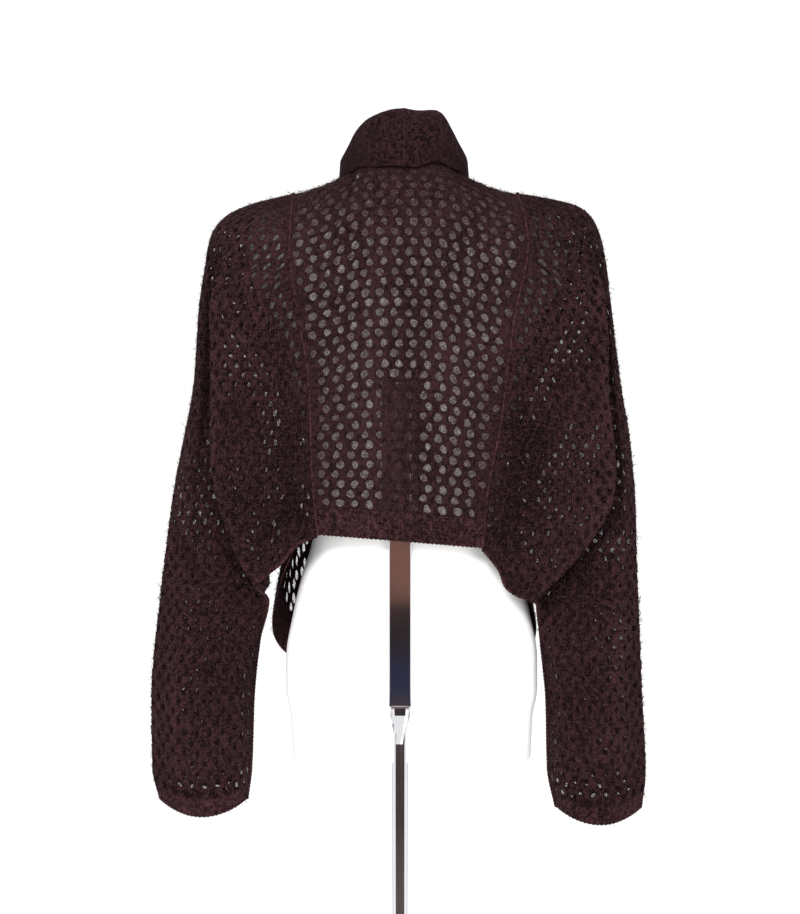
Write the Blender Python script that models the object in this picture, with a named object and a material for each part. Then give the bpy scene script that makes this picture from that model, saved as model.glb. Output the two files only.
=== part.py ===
"""Openwork batwing cardigan with a shawl collar, open in front, hanging on a white limbless form.

Metres, +Z up, the front faces -Y and the wearer's left is +X. The origin is under the middle of the
foot, on the axis of the upright. Cloth is laid out in the form's own frame, whose middle stands
FORM_FORWARD in front of the upright, and is moved by that much when its meshes are made.
"""

import math

import bmesh
import bpy
import numpy as np

# Driving dimensions
WALL = 0.0025
COLLAR_WALL = 0.003
GAP = 0.0003
HEM_BAND = 0.037
CUFF_BAND = 0.022
FORM_FORWARD = 0.0696
CLOTH_ASIDE = -0.005

# Widths are measured outwards from the middle line, heights up from the floor. Each outline is a short
# table of (height, width), top to bottom, read off one line of the garment.
OUTER_LEFT = ((1.4525, 0.139), (1.439, 0.192), (1.424, 0.224), (1.399, 0.2425), (1.3675, 0.249),
              (1.305, 0.259), (1.2175, 0.265), (1.13, 0.281), (1.03, 0.297), (0.9425, 0.308),
              (0.8175, 0.319), (0.73, 0.3175), (0.69, 0.308))
FOLD_LEFT = ((1.40, 0.236), (1.30, 0.239), (1.13, 0.239), (1.0925, 0.236), (1.031, 0.219),
             (0.984, 0.200), (0.964, 0.186))
SEAM_LEFT = ((1.4525, 0.139), (1.38, 0.1425), (1.289, 0.130), (1.205, 0.1175), (1.101, 0.114),
             (1.024, 0.107))
UNDER_LEFT = ((1.024, 0.107), (1.012, 0.134), (0.99, 0.152), (0.971, 0.177), (0.964, 0.186),
              (0.9425, 0.170), (0.8925, 0.182), (0.8175, 0.190), (0.73, 0.193), (0.69, 0.198))

OUTER_RIGHT = ((1.4530, 0.1425), (1.446, 0.183), (1.436, 0.220), (1.4175, 0.239), (1.38, 0.251),
               (1.33, 0.2575), (1.2175, 0.2725), (1.13, 0.286), (1.03, 0.292), (0.9425, 0.296),
               (0.8175, 0.301), (0.73, 0.305), (0.68, 0.300))
FOLD_RIGHT = ((1.40, 0.240), (1.3175, 0.249), (1.1925, 0.254), (1.0925, 0.2615), (1.071, 0.259),
              (1.011, 0.226), (0.9425, 0.1635))
SEAM_RIGHT = ((1.4530, 0.1425), (1.389, 0.154), (1.289, 0.136), (1.164, 0.120), (1.08, 0.104),
              (1.0075, 0.097))
UNDER_RIGHT = ((1.0075, 0.097), (0.98, 0.119), (0.961, 0.126), (0.9475, 0.145), (0.9425, 0.1635),
               (0.92, 0.168), (0.8675, 0.175), (0.8175, 0.180), (0.73, 0.182), (0.68, 0.192))

# Depths behind (+) and in front (-) of the form's middle, as (height, depth).
BACK_MIDDLE = ((1.50, 0.054), (1.45, 0.072), (1.40, 0.085), (1.35, 0.090), (1.20, 0.089), (1.00, 0.090))
BACK_SEAM = ((1.50, 0.060), (1.40, 0.072), (1.30, 0.079), (1.20, 0.081), (1.00, 0.084))
FLAP_EDGE = ((1.41, 0.020), (1.3675, 0.044), (1.305, 0.058), (1.20, 0.068), (1.05, 0.074), (0.94, 0.070))
VALLEY = ((1.41, 0.018), (1.3675, 0.030), (1.305, 0.036), (1.20, 0.040), (1.05, 0.042), (0.94, 0.040),
          (0.88, 0.038), (0.68, 0.034))

# Depth of the underarm seam, as (height above the flap's corner, depth).
UNDER_BACK = ((0.065, 0.083), (0.03, 0.080), (0.0, 0.068), (-0.02, 0.040), (-0.06, 0.008), (-0.11, 0.0))
SLEEVE_FRONT = ((1.44, -0.070), (1.40, -0.068), (1.30, -0.066), (1.10, -0.054), (0.95, -0.046),
                (0.68, -0.040))
FRONT_SEAM = ((1.46, -0.080), (1.40, -0.083), (1.33, -0.086), (1.25, -0.076),
              (1.18, -0.052), (1.12, -0.018), (1.06, 0.035), (1.024, 0.072), (1.00, 0.074))
FRONT_SEAM_WIDTH = ((1.44, 0.0), (1.40, 0.003), (1.30, 0.020), (1.18, 0.034), (1.12, 0.034),
                    (1.06, 0.022), (1.024, 0.0), (1.00, 0.0))

# The body of each front: half width and depth of the oval that it hangs round, as (height, size).
BODY_WIDTH = ((1.46, 0.150), (1.35, 0.153), (1.20, 0.153), (1.03, 0.153), (0.95, 0.163), (0.88, 0.171),
              (0.82, 0.173))
BODY_DEPTH = ((1.46, 0.102), (1.40, 0.114), (1.33, 0.131), (1.25, 0.138), (1.10, 0.128), (0.84, 0.122))
BODY_ROUNDNESS = 2.4

# The line where the collar band is sewn on: (height, width, depth), from the side of the neck down.
NECK_LINE = ((1.482, 0.064, 0.000), (1.469, 0.066, -0.032), (1.455, 0.068, -0.055), (1.42, 0.068, -0.084),
             (1.38, 0.066, -0.106), (1.33, 0.062, -0.124), (1.27, 0.061, -0.133), (1.20, 0.062, -0.133),
             (1.10, 0.064, -0.127), (0.98, 0.068, -0.122), (0.835, 0.072, -0.118))
NECK_BACK_HEIGHT = 1.490
NECK_BACK_DEPTH = 0.055

# Shoulder line between neck and sleeve seam, (width, height).
SHOULDER = ((0.064, 1.482), (0.078, 1.4745), (0.100, 1.464), (0.130, 1.455), (0.145, 1.4515))
SHOULDER_ROUND = 0.075

# Front hem, (share of the way from the front edge to the side, height).
FRONT_HEM = ((0.0, 0.835), (0.25, 0.858), (0.5, 0.893), (0.625, 0.923), (0.75, 0.963), (0.875, 0.994),
             (1.0, 1.0))

# Sections from the sleeve's top to the hem band, over the band, to the flap's corner, to the cuff
SLEEVE_STEPS = (3, 3, 3, 2, 3, 4, 3, 2, 2)
SLEEVE_POINTS = sum(SLEEVE_STEPS) + 1
CAP_ROWS = 15
BAND_ROWS = 2
FLAP_ROWS = 4
ARM_ROWS = 9
NECK_COLUMNS = 4
SHOULDER_COLUMNS = 8

# Collar stations along its seam: share of the length, height of the stand, width of the fall,
# direction that the stand's outside faces (degrees from +X), how far the stand leans out
COLLAR_STATIONS = ((0.00, 0.063, 0.063, 90.0, 0.04), (0.05, 0.057, 0.058, 70.0, 0.0),
                   (0.08, 0.044, 0.046, 50.0, -0.06), (0.11, 0.031, 0.034, 25.0, -0.10),
                   (0.15, 0.021, 0.024, -5.0, -0.05), (0.20, 0.024, 0.030, -28.0, 0.0),
                   (0.28, 0.036, 0.048, -52.0, 0.0), (0.40, 0.044, 0.050, -66.0, 0.0),
                   (0.55, 0.044, 0.022, -72.0, 0.0), (0.70, 0.044, 0.010, -72.0, 0.0),
                   (1.00, 0.044, 0.010, -72.0, 0.0))
COLLAR_ROLL = 0.007
COLLAR_LIFT = 0.0022
COLLAR_EASE = 0.00012
COLLAR_SECTIONS = 26

# The form, (height, half width, front depth, back depth, roundness of the section)
FORM_ROWS = ((1.530, 0.030, 0.034, 0.030, 2.0), (1.528, 0.044, 0.046, 0.042, 2.0),
             (1.520, 0.049, 0.051, 0.047, 2.0), (1.490, 0.052, 0.053, 0.047, 2.0),
             (1.474, 0.056, 0.054, 0.048, 2.0), (1.462, 0.080, 0.055, 0.050, 1.9),
             (1.453, 0.112, 0.057, 0.053, 1.8), (1.444, 0.142, 0.060, 0.056, 1.8),
             (1.434, 0.172, 0.067, 0.060, 1.8), (1.420, 0.193, 0.078, 0.064, 1.9),
             (1.395, 0.202, 0.094, 0.068, 2.0), (1.360, 0.200, 0.108, 0.071, 2.1),
             (1.325, 0.186, 0.120, 0.072, 2.2), (1.285, 0.160, 0.126, 0.069, 2.3),
             (1.240, 0.147, 0.125, 0.062, 2.4), (1.180, 0.134, 0.110, 0.062, 2.3),
             (1.120, 0.121, 0.100, 0.062, 2.3), (1.070, 0.117, 0.096, 0.062, 2.3),
             (1.020, 0.122, 0.100, 0.062, 2.3), (0.970, 0.138, 0.108, 0.062, 2.3),
             (0.920, 0.150, 0.112, 0.062, 2.3), (0.870, 0.158, 0.114, 0.062, 2.3),
             (0.830, 0.158, 0.110, 0.062, 2.3), (0.795, 0.152, 0.104, 0.061, 2.3),
             (0.760, 0.150, 0.098, 0.059, 2.3), (0.744, 0.149, 0.096, 0.058, 2.3),
             (0.740, 0.146, 0.093, 0.055, 2.3))
FORM_SIDES = 36

# How far the form's sections stand aside of the upright, (height, shift)
FORM_ASIDE = ((1.53, -0.009), (1.30, -0.009), (1.08, -0.011), (0.92, -0.0145), (0.74, -0.0150))

BRACKET_WIDTH = 0.046
BRACKET_TOP = 1.2175
BRACKET_BOTTOM = 1.050
BRACKET_THICK = 0.003
BAR_WIDTH = 0.028
BAR_THICK = 0.0073
BAR_BOTTOM = 0.811
ROD_RADIUS_TOP = 0.0095
ROD_RADIUS_FOOT = 0.0076
ROD_FLARE_WIDTH = 0.0250
ROD_FLARE_THICK = 0.0090
ROD_SIDES = 20
SOCKET_RADIUS = 0.021
SOCKET_HEIGHT = 0.034
BASE_RADIUS = 0.19
BASE_HEIGHT = 0.012

# Colour, roughness, metallic
WOOL = ("brown_mohair", (0.030, 0.016, 0.017), 0.95, 0.0)
PLASTIC = ("white_form", (0.86, 0.86, 0.85), 0.35, 0.0)
CHROME = ("bright_chrome", (0.78, 0.78, 0.80), 0.12, 1.0)
STEEL = ("satin_steel", (0.60, 0.60, 0.62), 0.28, 1.0)
BLACKENED = ("black_steel", (0.035, 0.033, 0.034), 0.45, 1.0)


def clear_scene():
    for old in list(bpy.data.objects):
        bpy.data.objects.remove(old, do_unlink=True)


def material(finish):
    name, colour, roughness, metallic = finish
    found = bpy.data.materials.get(name)
    if found:
        return found
    made = bpy.data.materials.new(name)
    made.use_nodes = True
    shader = made.node_tree.nodes["Principled BSDF"]
    shader.inputs["Base Color"].default_value = (*colour, 1.0)
    shader.inputs["Roughness"].default_value = roughness
    shader.inputs["Metallic"].default_value = metallic
    return made


def add_object(name, points, faces, finish, smooth=True):
    mesh = bpy.data.meshes.new(name)
    mesh.from_pydata([tuple(p) for p in points], [], [tuple(f) for f in faces])
    mesh.update()
    if smooth:
        mesh.shade_smooth()
        mesh.set_sharp_from_angle(angle=math.radians(50))
    mesh.materials.append(material(finish))
    made = bpy.data.objects.new(name, mesh)
    bpy.context.collection.objects.link(made)
    return made


def follow(table, at, column=1):
    """A smooth reading of a table at a height, with no overshoot between its rows."""
    x = np.array([row[0] for row in table], float)
    y = np.array([row[column] for row in table], float)
    if x[0] > x[-1]:
        x, y = x[::-1], y[::-1]
    at = min(max(at, x[0]), x[-1])
    step = np.diff(x)
    rise = np.diff(y) / step
    slope = np.zeros(len(x))
    slope[0], slope[-1] = rise[0], rise[-1]
    for i in range(1, len(x) - 1):
        if rise[i - 1] * rise[i] > 0:
            w1 = 2 * step[i] + step[i - 1]
            w2 = step[i] + 2 * step[i - 1]
            slope[i] = (w1 + w2) / (w1 / rise[i - 1] + w2 / rise[i])
    i = min(int(np.searchsorted(x, at, side="right")) - 1, len(x) - 2)
    t = (at - x[i]) / step[i]
    h00, h10 = (1 + 2 * t) * (1 - t) ** 2, t * (1 - t) ** 2
    h01, h11 = t * t * (3 - 2 * t), t * t * (t - 1)
    return float(h00 * y[i] + h10 * step[i] * slope[i] + h01 * y[i + 1] + h11 * step[i] * slope[i + 1])


def blend(a, b, t):
    return a + (b - a) * t


def ease(t):
    t = min(max(t, 0.0), 1.0)
    return t * t * (3 - 2 * t)


def rounding(drop):
    """How far the cloth has turned over the shoulder, 0 on its ridge and 1 where it hangs."""
    return math.sqrt(max(0.0, 1 - (1 - min(drop / SHOULDER_ROUND, 1)) ** 2))


def spline(knots, counts):
    """Points along a centripetal Catmull-Rom curve, counts[i] of them in stretch i."""
    knots = np.array(knots, float)
    padded = np.vstack([2 * knots[0] - knots[1], knots, 2 * knots[-1] - knots[-2]])
    made = []
    for i, count in enumerate(counts):
        p = padded[i:i + 4]
        t = np.concatenate([[0], np.cumsum(np.maximum(np.linalg.norm(np.diff(p, axis=0), axis=1), 1e-7) ** 0.5)])
        for k in range(count):
            u = blend(t[1], t[2], k / count)
            a = [((t[j + 1] - u) * p[j] + (u - t[j]) * p[j + 1]) / (t[j + 1] - t[j]) for j in range(3)]
            b = [((t[j + 2] - u) * a[j] + (u - t[j]) * a[j + 1]) / (t[j + 2] - t[j]) for j in range(2)]
            made.append(((t[2] - u) * b[0] + (u - t[1]) * b[1]) / (t[2] - t[1]))
    made.append(knots[-1])
    return made


# Where the sleeve's inner side passes the fronts over the hips, (width, depth)
HIP_CLEARANCE = (0.168, 0.054)
LEFT_TOP, LEFT_HEM = SEAM_LEFT[0][0], SEAM_LEFT[-1][0]


class Side:
    """One half of the garment: its outlines, and the heights of its sections."""

    def __init__(self, sign, outer, fold, seam, under):
        self.sign = sign
        self.outer, self.fold, self.seam, self.under = outer, fold, seam, under
        self.top = seam[0][0]
        self.hem = seam[-1][0]
        self.corner = fold[-1][0]
        self.end = outer[-1][0]

    def levels(self):
        """Heights of the sections, close together over the shoulder."""
        band = self.hem + HEM_BAND
        heights = [blend(self.top, band, (i / CAP_ROWS) ** 1.7) for i in range(CAP_ROWS)]
        heights += [blend(band, self.hem, i / BAND_ROWS) for i in range(BAND_ROWS)]
        heights += [blend(self.hem, self.corner, i / FLAP_ROWS) for i in range(FLAP_ROWS)]
        cuff = self.end + CUFF_BAND
        heights += [blend(self.corner, cuff, (i / ARM_ROWS) ** 1.25) for i in range(ARM_ROWS)]
        return heights + [cuff, self.end]

    def back_seam(self, z):
        """(width, depth) of the seam between back and sleeve."""
        return follow(self.seam, z), follow(BACK_SEAM, z) * rounding(self.top - z)

    def front_seam(self, z, turned=True):
        """(width, depth) of the seam between front and sleeve, which ends beside the back seam."""
        height = blend(LEFT_TOP, LEFT_HEM, (self.top - z) / (self.top - self.hem))
        width = self.back_seam(z)[0] + follow(FRONT_SEAM_WIDTH, height)
        return width, follow(FRONT_SEAM, height) * (rounding(self.top - z) if turned else 1.0)

    def section(self, z):
        """Points round the sleeve at one height, from the back seam over its outer edge to the front."""
        outer = follow(self.outer, z)
        folded = ease((1.405 - z) / 0.08)
        front = follow(SLEEVE_FRONT, z) * rounding(self.top - z)
        if z >= self.hem:
            start, end = self.back_seam(z), self.front_seam(z)
        else:
            start = end = (follow(self.under, z), follow(UNDER_BACK, z - self.corner))
        if z > self.corner - 1e-6:
            edge = follow(self.fold, z)
            plain = [(blend(start[0], outer, math.sin(math.pi / 2 * t)),
                      start[1] * math.cos(math.pi / 2 * t) ** 0.9) for t in (0.33, 0.62, 0.74, 0.87)]
            flap = (edge, follow(FLAP_EDGE, z))
            flat = [(blend(start[0], edge, 0.5), blend(start[1], flap[1], 0.5) + 0.006), flap,
                    (edge - 0.009, follow(VALLEY, z)), (blend(edge, outer, 0.5), follow(VALLEY, z) + 0.001)]
            if z < self.hem:
                close = ease((z - self.corner) / (self.hem - self.corner))
                flat[0] = (flat[0][0], blend(start[1], flap[1], 0.5) + 0.006 * close)
            back = [tuple(np.array(a) * (1 - folded) + np.array(b) * folded) for a, b in zip(plain, flat)]
            if z < self.corner + 1e-6:
                back[0] = back[1] = start
        else:
            width = outer - start[0]
            depth = follow(VALLEY, z)
            back = [start, start, (start[0] + 0.10 * width, depth * 0.86), (start[0] + 0.60 * width, depth + 0.004)]
        low = ease((self.hem - z + 0.05) / 0.14)
        inner = (blend(end[0] + 0.030, follow(self.under, min(z, self.hem)) + 0.012, low),
                 blend(end[1] * 0.5 + front * 0.55, front * 0.45, low))
        if self.corner - 1e-6 < z < self.hem + 0.03:
            inner = (max(inner[0], HIP_CLEARANCE[0] + 0.006), inner[1])
        if z > 1.40:
            inner = (blend(end[0], outer, 0.4), end[1] * 0.92)
        middle = (blend(inner[0], outer, 0.48), front)
        wrapped = ease((1.13 - z) / 0.09) * ease((z - self.corner + 0.025) / 0.025)
        beside = (blend(blend(inner[0], end[0], 0.5), HIP_CLEARANCE[0], wrapped),
                  blend(blend(inner[1], end[1], 0.5), HIP_CLEARANCE[1], wrapped))
        first = spline([start, *back, (outer, 0.0), middle, inner, beside, end], SLEEVE_STEPS)
        return [(self.sign * a, y) for a, y in first]


LEFT = Side(1, OUTER_LEFT, FOLD_LEFT, SEAM_LEFT, UNDER_LEFT)
RIGHT = Side(-1, OUTER_RIGHT, FOLD_RIGHT, SEAM_RIGHT, UNDER_RIGHT)
CUFF_DIP = 0.020

# Two pieces meet in a valley when they turn towards each other by more than this share
VALLEY_SLOPE = 0.25


class Sheet:
    """The whole cloth as one surface of named pieces that share the points along their seams."""

    def __init__(self):
        self.points, self.keys, self.faces = [], {}, {}

    def point(self, p):
        key = tuple(math.floor(v * 1e5 + 0.37) for v in p)
        if key not in self.keys:
            self.keys[key] = len(self.points)
            self.points.append(p)
        return self.keys[key]

    def grid(self, name, rows, flip):
        """Adds the faces between rows of points, each row running from the middle of the back."""
        index = [[self.point(p) for p in row] for row in rows]
        for upper, lower in zip(index, index[1:]):
            for c in range(len(upper) - 1):
                ring = [upper[c], upper[c + 1], lower[c + 1], lower[c]]
                kept = [v for i, v in enumerate(ring) if v != ring[i - 1]]
                if len(set(kept)) >= 3:
                    self.faces.setdefault(name, []).append(kept[::-1] if flip else kept)

    def normals(self, faces):
        """Unit normals at the points of these faces, and zero elsewhere."""
        points = np.array(self.points)
        total = np.zeros_like(points)
        for face in faces:
            p = points[face]
            total[face] += sum(np.cross(p[i] - p[0], p[i + 1] - p[0]) for i in range(1, len(p) - 1))
        return total / np.maximum(np.linalg.norm(total, axis=1), 1e-12)[:, None]

    def build(self, wall, finish, offset):
        """Makes each piece a closed wall, its edges drawn in by half a seam's gap.

        Where a seam is a ridge both pieces turn their edges to the line between them, and where it is
        a valley each keeps its own, so that neither wall reaches into the other.
        """
        points = np.array(self.points)
        own = {name: self.normals(faces) for name, faces in self.faces.items()}
        for name, faces in self.faces.items():
            used = sorted({v for face in faces for v in face})
            place = {v: i for i, v in enumerate(used)}
            edges = {}
            for face in faces:
                for i, v in enumerate(face):
                    edges[(face[i - 1], v)] = face
            border = [e for e in edges if (e[1], e[0]) not in edges]
            normals = own[name][used]
            beyond = sum(other[used] for key, other in own.items() if key != name) + np.zeros_like(normals)
            outside = points[used].copy()
            draw = np.zeros_like(outside)
            for a, b in border:
                inward = np.cross(normals[place[a]] + normals[place[b]], points[b] - points[a])
                if np.dot(inward, points[edges[(a, b)]].mean(axis=0) - points[a]) < 0:
                    inward = -inward
                inward /= max(np.linalg.norm(inward), 1e-12)
                draw[place[a]] += inward
                draw[place[b]] += inward
            draw /= np.maximum(np.linalg.norm(draw, axis=1), 1e-12)[:, None]
            steep = np.linalg.norm(beyond, axis=1) * VALLEY_SLOPE
            ridge = np.einsum("ij,ij->i", beyond, draw) <= steep
            normals[ridge] += beyond[ridge] / np.maximum(np.linalg.norm(beyond[ridge], axis=1), 1e-12)[:, None]
            normals /= np.maximum(np.linalg.norm(normals, axis=1), 1e-12)[:, None]
            outside += draw * GAP * 0.55
            inside = outside - normals * wall
            count = len(used)
            made = [[place[v] for v in face] for face in faces]
            closed = made + [[v + count for v in face[::-1]] for face in made]
            closed += [[place[b], place[a], place[a] + count, place[b] + count] for a, b in border]
            add_object(name, np.vstack([outside, inside]) + offset, closed, finish)


def add_sleeve(sheet, side, name):
    levels = side.levels()
    rows = []
    for i, z in enumerate(levels):
        if i == 0:
            apex = (side.sign * side.back_seam(z)[0], 0.0, z)
            rows.append([apex] * SLEEVE_POINTS)
            continue
        row = side.section(z)
        low = ease((side.corner - z) / (side.corner - side.end))
        inner, outer = follow(side.under, z), follow(side.outer, z)
        shaped = []
        for a, y in row:
            across = (abs(a) - inner) / max(outer - inner, 1e-6)
            dip = CUFF_DIP * low * (1 - (2 * across - 1) ** 2) if z < side.corner else 0.0
            shaped.append((a, y, z - dip))
        rows.append(shaped)
    cuff = len(rows) - 2
    sheet.grid("sleeve_" + name, rows[:cuff + 1], side.sign < 0)
    sheet.grid("cuff_" + name, rows[cuff:], side.sign < 0)


def shoulder_top(width):
    """(depth, height) of the back's upper edge: the neck's curve, then the shoulder line."""
    neck = SHOULDER[0][0]
    if width >= neck:
        return 0.0, follow(SHOULDER, width)
    return (NECK_BACK_DEPTH * math.sqrt(1 - (width / neck) ** 2),
            blend(NECK_BACK_HEIGHT, SHOULDER[0][1], (width / neck) ** 3))


def hang(top, bottom, side, level, band):
    """Height on a column that runs from top to bottom, for a section at this level of the seam."""
    if level <= side.hem + HEM_BAND + 1e-9:
        return bottom + (level - side.hem)
    share = (side.top - level) / (side.top - side.hem - HEM_BAND)
    return blend(top, bottom + band, share)


def shoulder_point(side, share):
    """(width, height) on the shoulder line, from the side of the neck to the sleeve seam."""
    width = blend(SHOULDER[0][0], side.back_seam(side.top)[0], share)
    return width, blend(follow(SHOULDER, width), side.top, share ** 6)


def back_column(side, c):
    """(share of the width, depth, height) where a column of the back meets its upper edge."""
    whole = side.back_seam(side.top)[0]
    if c < NECK_COLUMNS:
        width = SHOULDER[0][0] * c / NECK_COLUMNS
        return (width / whole, *shoulder_top(width))
    width, height = shoulder_point(side, (c - NECK_COLUMNS) / SHOULDER_COLUMNS)
    return width / whole, 0.0, height


def add_back(sheet):
    """Rows of the back, from the wearer's right seam to the left."""
    levels = list(zip(RIGHT.levels(), LEFT.levels()))[:CAP_ROWS + BAND_ROWS + 1]
    last = NECK_COLUMNS + SHOULDER_COLUMNS
    rows = []
    for right, left in levels:
        row = []
        for c in range(-last, last + 1):
            side, level = (LEFT, left) if c > 0 else (RIGHT, right)
            seam = side.back_seam(level)
            if abs(c) == last:
                row.append((side.sign * seam[0], seam[1], level))
                continue
            share, depth_top, height_top = back_column(side, abs(c))
            hem = blend(blend(RIGHT.hem, LEFT.hem, 0.5), side.hem, share)
            z = hang(height_top, hem, side, level, HEM_BAND)
            full = blend(follow(BACK_MIDDLE, z), follow(BACK_SEAM, z), share ** 2)
            edge = blend(follow(BACK_MIDDLE, height_top), follow(BACK_SEAM, height_top), share ** 2)
            depth = full - (edge - depth_top) * (1 - rounding(height_top - z))
            row.append((side.sign * share * seam[0], depth, z))
        rows.append(row)
    sheet.grid("back", rows[:CAP_ROWS + 1], False)
    sheet.grid("back_hem", rows[CAP_ROWS:], False)


def neck_line(z):
    return follow(NECK_LINE, z, 1), follow(NECK_LINE, z, 2)


def powered(value, power):
    return math.copysign(abs(value) ** power, value)


def oval_place(across, along):
    """(angle, reach) of a point on the front's rounded oval, in shares of its half width and depth."""
    half = BODY_ROUNDNESS / 2
    reach = (abs(across) ** BODY_ROUNDNESS + abs(along) ** BODY_ROUNDNESS) ** (1 / BODY_ROUNDNESS)
    return math.atan2(powered(along, half), powered(across, half)), reach


def add_front(sheet, side, name):
    """Rows of one front, from the sleeve seam round to the line where the band is sewn."""
    levels = side.levels()[:CAP_ROWS + BAND_ROWS + 1]
    rows = []
    for level in levels:
        seam = side.front_seam(level)
        full_seam = side.front_seam(level, turned=False)
        row = []
        for c in range(SHOULDER_COLUMNS, -1, -1):
            share = c / SHOULDER_COLUMNS
            if c == SHOULDER_COLUMNS:
                row.append((side.sign * seam[0], seam[1], level))
                continue
            top_width, top = shoulder_point(side, share)
            bottom = follow(FRONT_HEM, share) + (side.hem - FRONT_HEM[-1][1]) * share ** 2
            z = hang(top, bottom, side, level, HEM_BAND)
            edge = neck_line(z)
            if c == 0:
                row.append((side.sign * edge[0], edge[1], z))
                continue
            drop = rounding(top - z)
            edge = (edge[0], edge[1] / max(rounding(NECK_LINE[0][0] - z), 0.3))
            body = (follow(BODY_WIDTH, z), follow(BODY_DEPTH, z))
            ends = [oval_place(p[0] / body[0], -p[1] / body[1]) for p in (edge, full_seam)]
            turn = blend(ends[0][0], ends[1][0], share)
            reach = blend(ends[0][1], ends[1][1], share ** blend(1.5, 4.0, ease((1.15 - z) / 0.12)))
            width = body[0] * reach * powered(math.cos(turn), 2 / BODY_ROUNDNESS)
            depth = -body[1] * reach * powered(math.sin(turn), 2 / BODY_ROUNDNESS)
            row.append((side.sign * blend(top_width, width, drop), depth * drop, z))
        rows.append(row)
    sheet.grid("front_" + name, rows[:CAP_ROWS + 1], side.sign < 0)
    sheet.grid("front_hem_" + name, rows[CAP_ROWS:], side.sign < 0)


def collar_path(share):
    """A point on the collar's seam, from the middle of the back to the front hem, in the left half."""
    neck = SHOULDER[0][0]
    round_neck = 0.115
    front_drop = NECK_LINE[0][0] - NECK_LINE[-1][0]
    total = round_neck + front_drop
    at = share * total
    if at < round_neck:
        turn = math.pi / 2 * at / round_neck
        width = neck * math.sin(turn)
        depth, height = shoulder_top(min(width, neck - 1e-6))
        return np.array([width, depth, height])
    z = NECK_LINE[0][0] - (at - round_neck)
    width, depth = neck_line(z)
    return np.array([width, depth, z])


def collar_rows():
    """Sections of the doubled collar: up the stand, over the roll and down the fall."""
    rows = []
    for i in range(COLLAR_SECTIONS + 1):
        share = (i / COLLAR_SECTIONS) ** 1.5
        stand, fall, facing, lean = (follow(COLLAR_STATIONS, share, k) for k in (1, 2, 3, 4))
        start = collar_path(share)
        along = collar_path(min(share + 0.01, 1)) - collar_path(max(share - 0.01, 0))
        if i == 0:
            along = np.array([1.0, 0.0, 0.0])
        along /= np.linalg.norm(along)
        out = np.array([math.cos(math.radians(facing)), math.sin(math.radians(facing)), 0.0])
        out -= along * np.dot(out, along)
        out /= np.linalg.norm(out)
        up = np.cross(along, out)
        knots = [(COLLAR_LIFT, 0.0), (stand * 0.5, lean * stand * 0.5 - 0.002), (stand - COLLAR_ROLL, lean * stand),
                 (stand, lean * stand + COLLAR_ROLL), (stand - COLLAR_ROLL, lean * stand + 2 * COLLAR_ROLL)]
        if fall > 0.012:
            knots += [(stand - fall * 0.55, lean * stand + 2 * COLLAR_ROLL + 0.001),
                      (stand - fall, lean * stand * 0.5 + 2 * COLLAR_ROLL + 0.001)]
            counts = (3, 3, 2, 2, 2, 2)
        else:
            knots += [(stand - fall * 0.9, lean * stand + 2 * COLLAR_ROLL),
                      (stand - fall * 1.3, lean * stand + 2 * COLLAR_ROLL)]
            counts = (3, 3, 2, 2, 2, 2)
        rows.append([start + up * w + out * n for w, n in spline(knots, counts)])
    return rows


def add_collar(side, name, offset):
    sheet = Sheet()
    rows = [[(side.sign * (p[0] + COLLAR_EASE), p[1], p[2]) for p in row] for row in collar_rows()]
    sheet.grid("collar_" + name, rows, side.sign < 0)
    sheet.build(COLLAR_WALL, WOOL, offset)


def oval(height, width, front, back, roundness, sides):
    ring = []
    for i in range(sides):
        turn = 2 * math.pi * i / sides
        c, s = math.cos(turn), math.sin(turn)
        depth = back if s > 0 else front
        ring.append((width * powered(c, 2 / roundness), depth * powered(s, 2 / roundness), height))
    return ring


def lofted(name, rings, finish, offset=(0.0, 0.0, 0.0)):
    """A closed solid through rings of equal count, listed from the bottom up."""
    sides = len(rings[0])
    points = np.array([p for ring in rings for p in ring]) + np.array(offset)
    faces = [list(range(sides))[::-1]]
    for r in range(len(rings) - 1):
        low, high = r * sides, (r + 1) * sides
        faces += [[low + i, low + (i + 1) % sides, high + (i + 1) % sides, high + i] for i in range(sides)]
    faces.append([(len(rings) - 1) * sides + i for i in range(sides)])
    return add_object(name, points, faces, finish)


def box(name, lowest, highest, finish, bevel):
    mesh = bmesh.new()
    bmesh.ops.create_cube(mesh, size=1.0)
    low, high = np.array(lowest), np.array(highest)
    for v in mesh.verts:
        v.co = low + (np.array(v.co) + 0.5) * (high - low)
    bmesh.ops.bevel(mesh, geom=mesh.edges[:], offset=bevel, segments=2, affect="EDGES", profile=0.5)
    points = [tuple(v.co) for v in mesh.verts]
    faces = [[v.index for v in f.verts] for f in mesh.faces]
    mesh.free()
    return add_object(name, points, faces, finish)


def turned(name, profile, finish, sides):
    """A closed solid turned round the upright's axis, its profile (radius, height) from the bottom up."""
    rings = [oval(z, r, r, r, 2.0, sides) for r, z in profile]
    return lofted(name, rings, finish)


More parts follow.
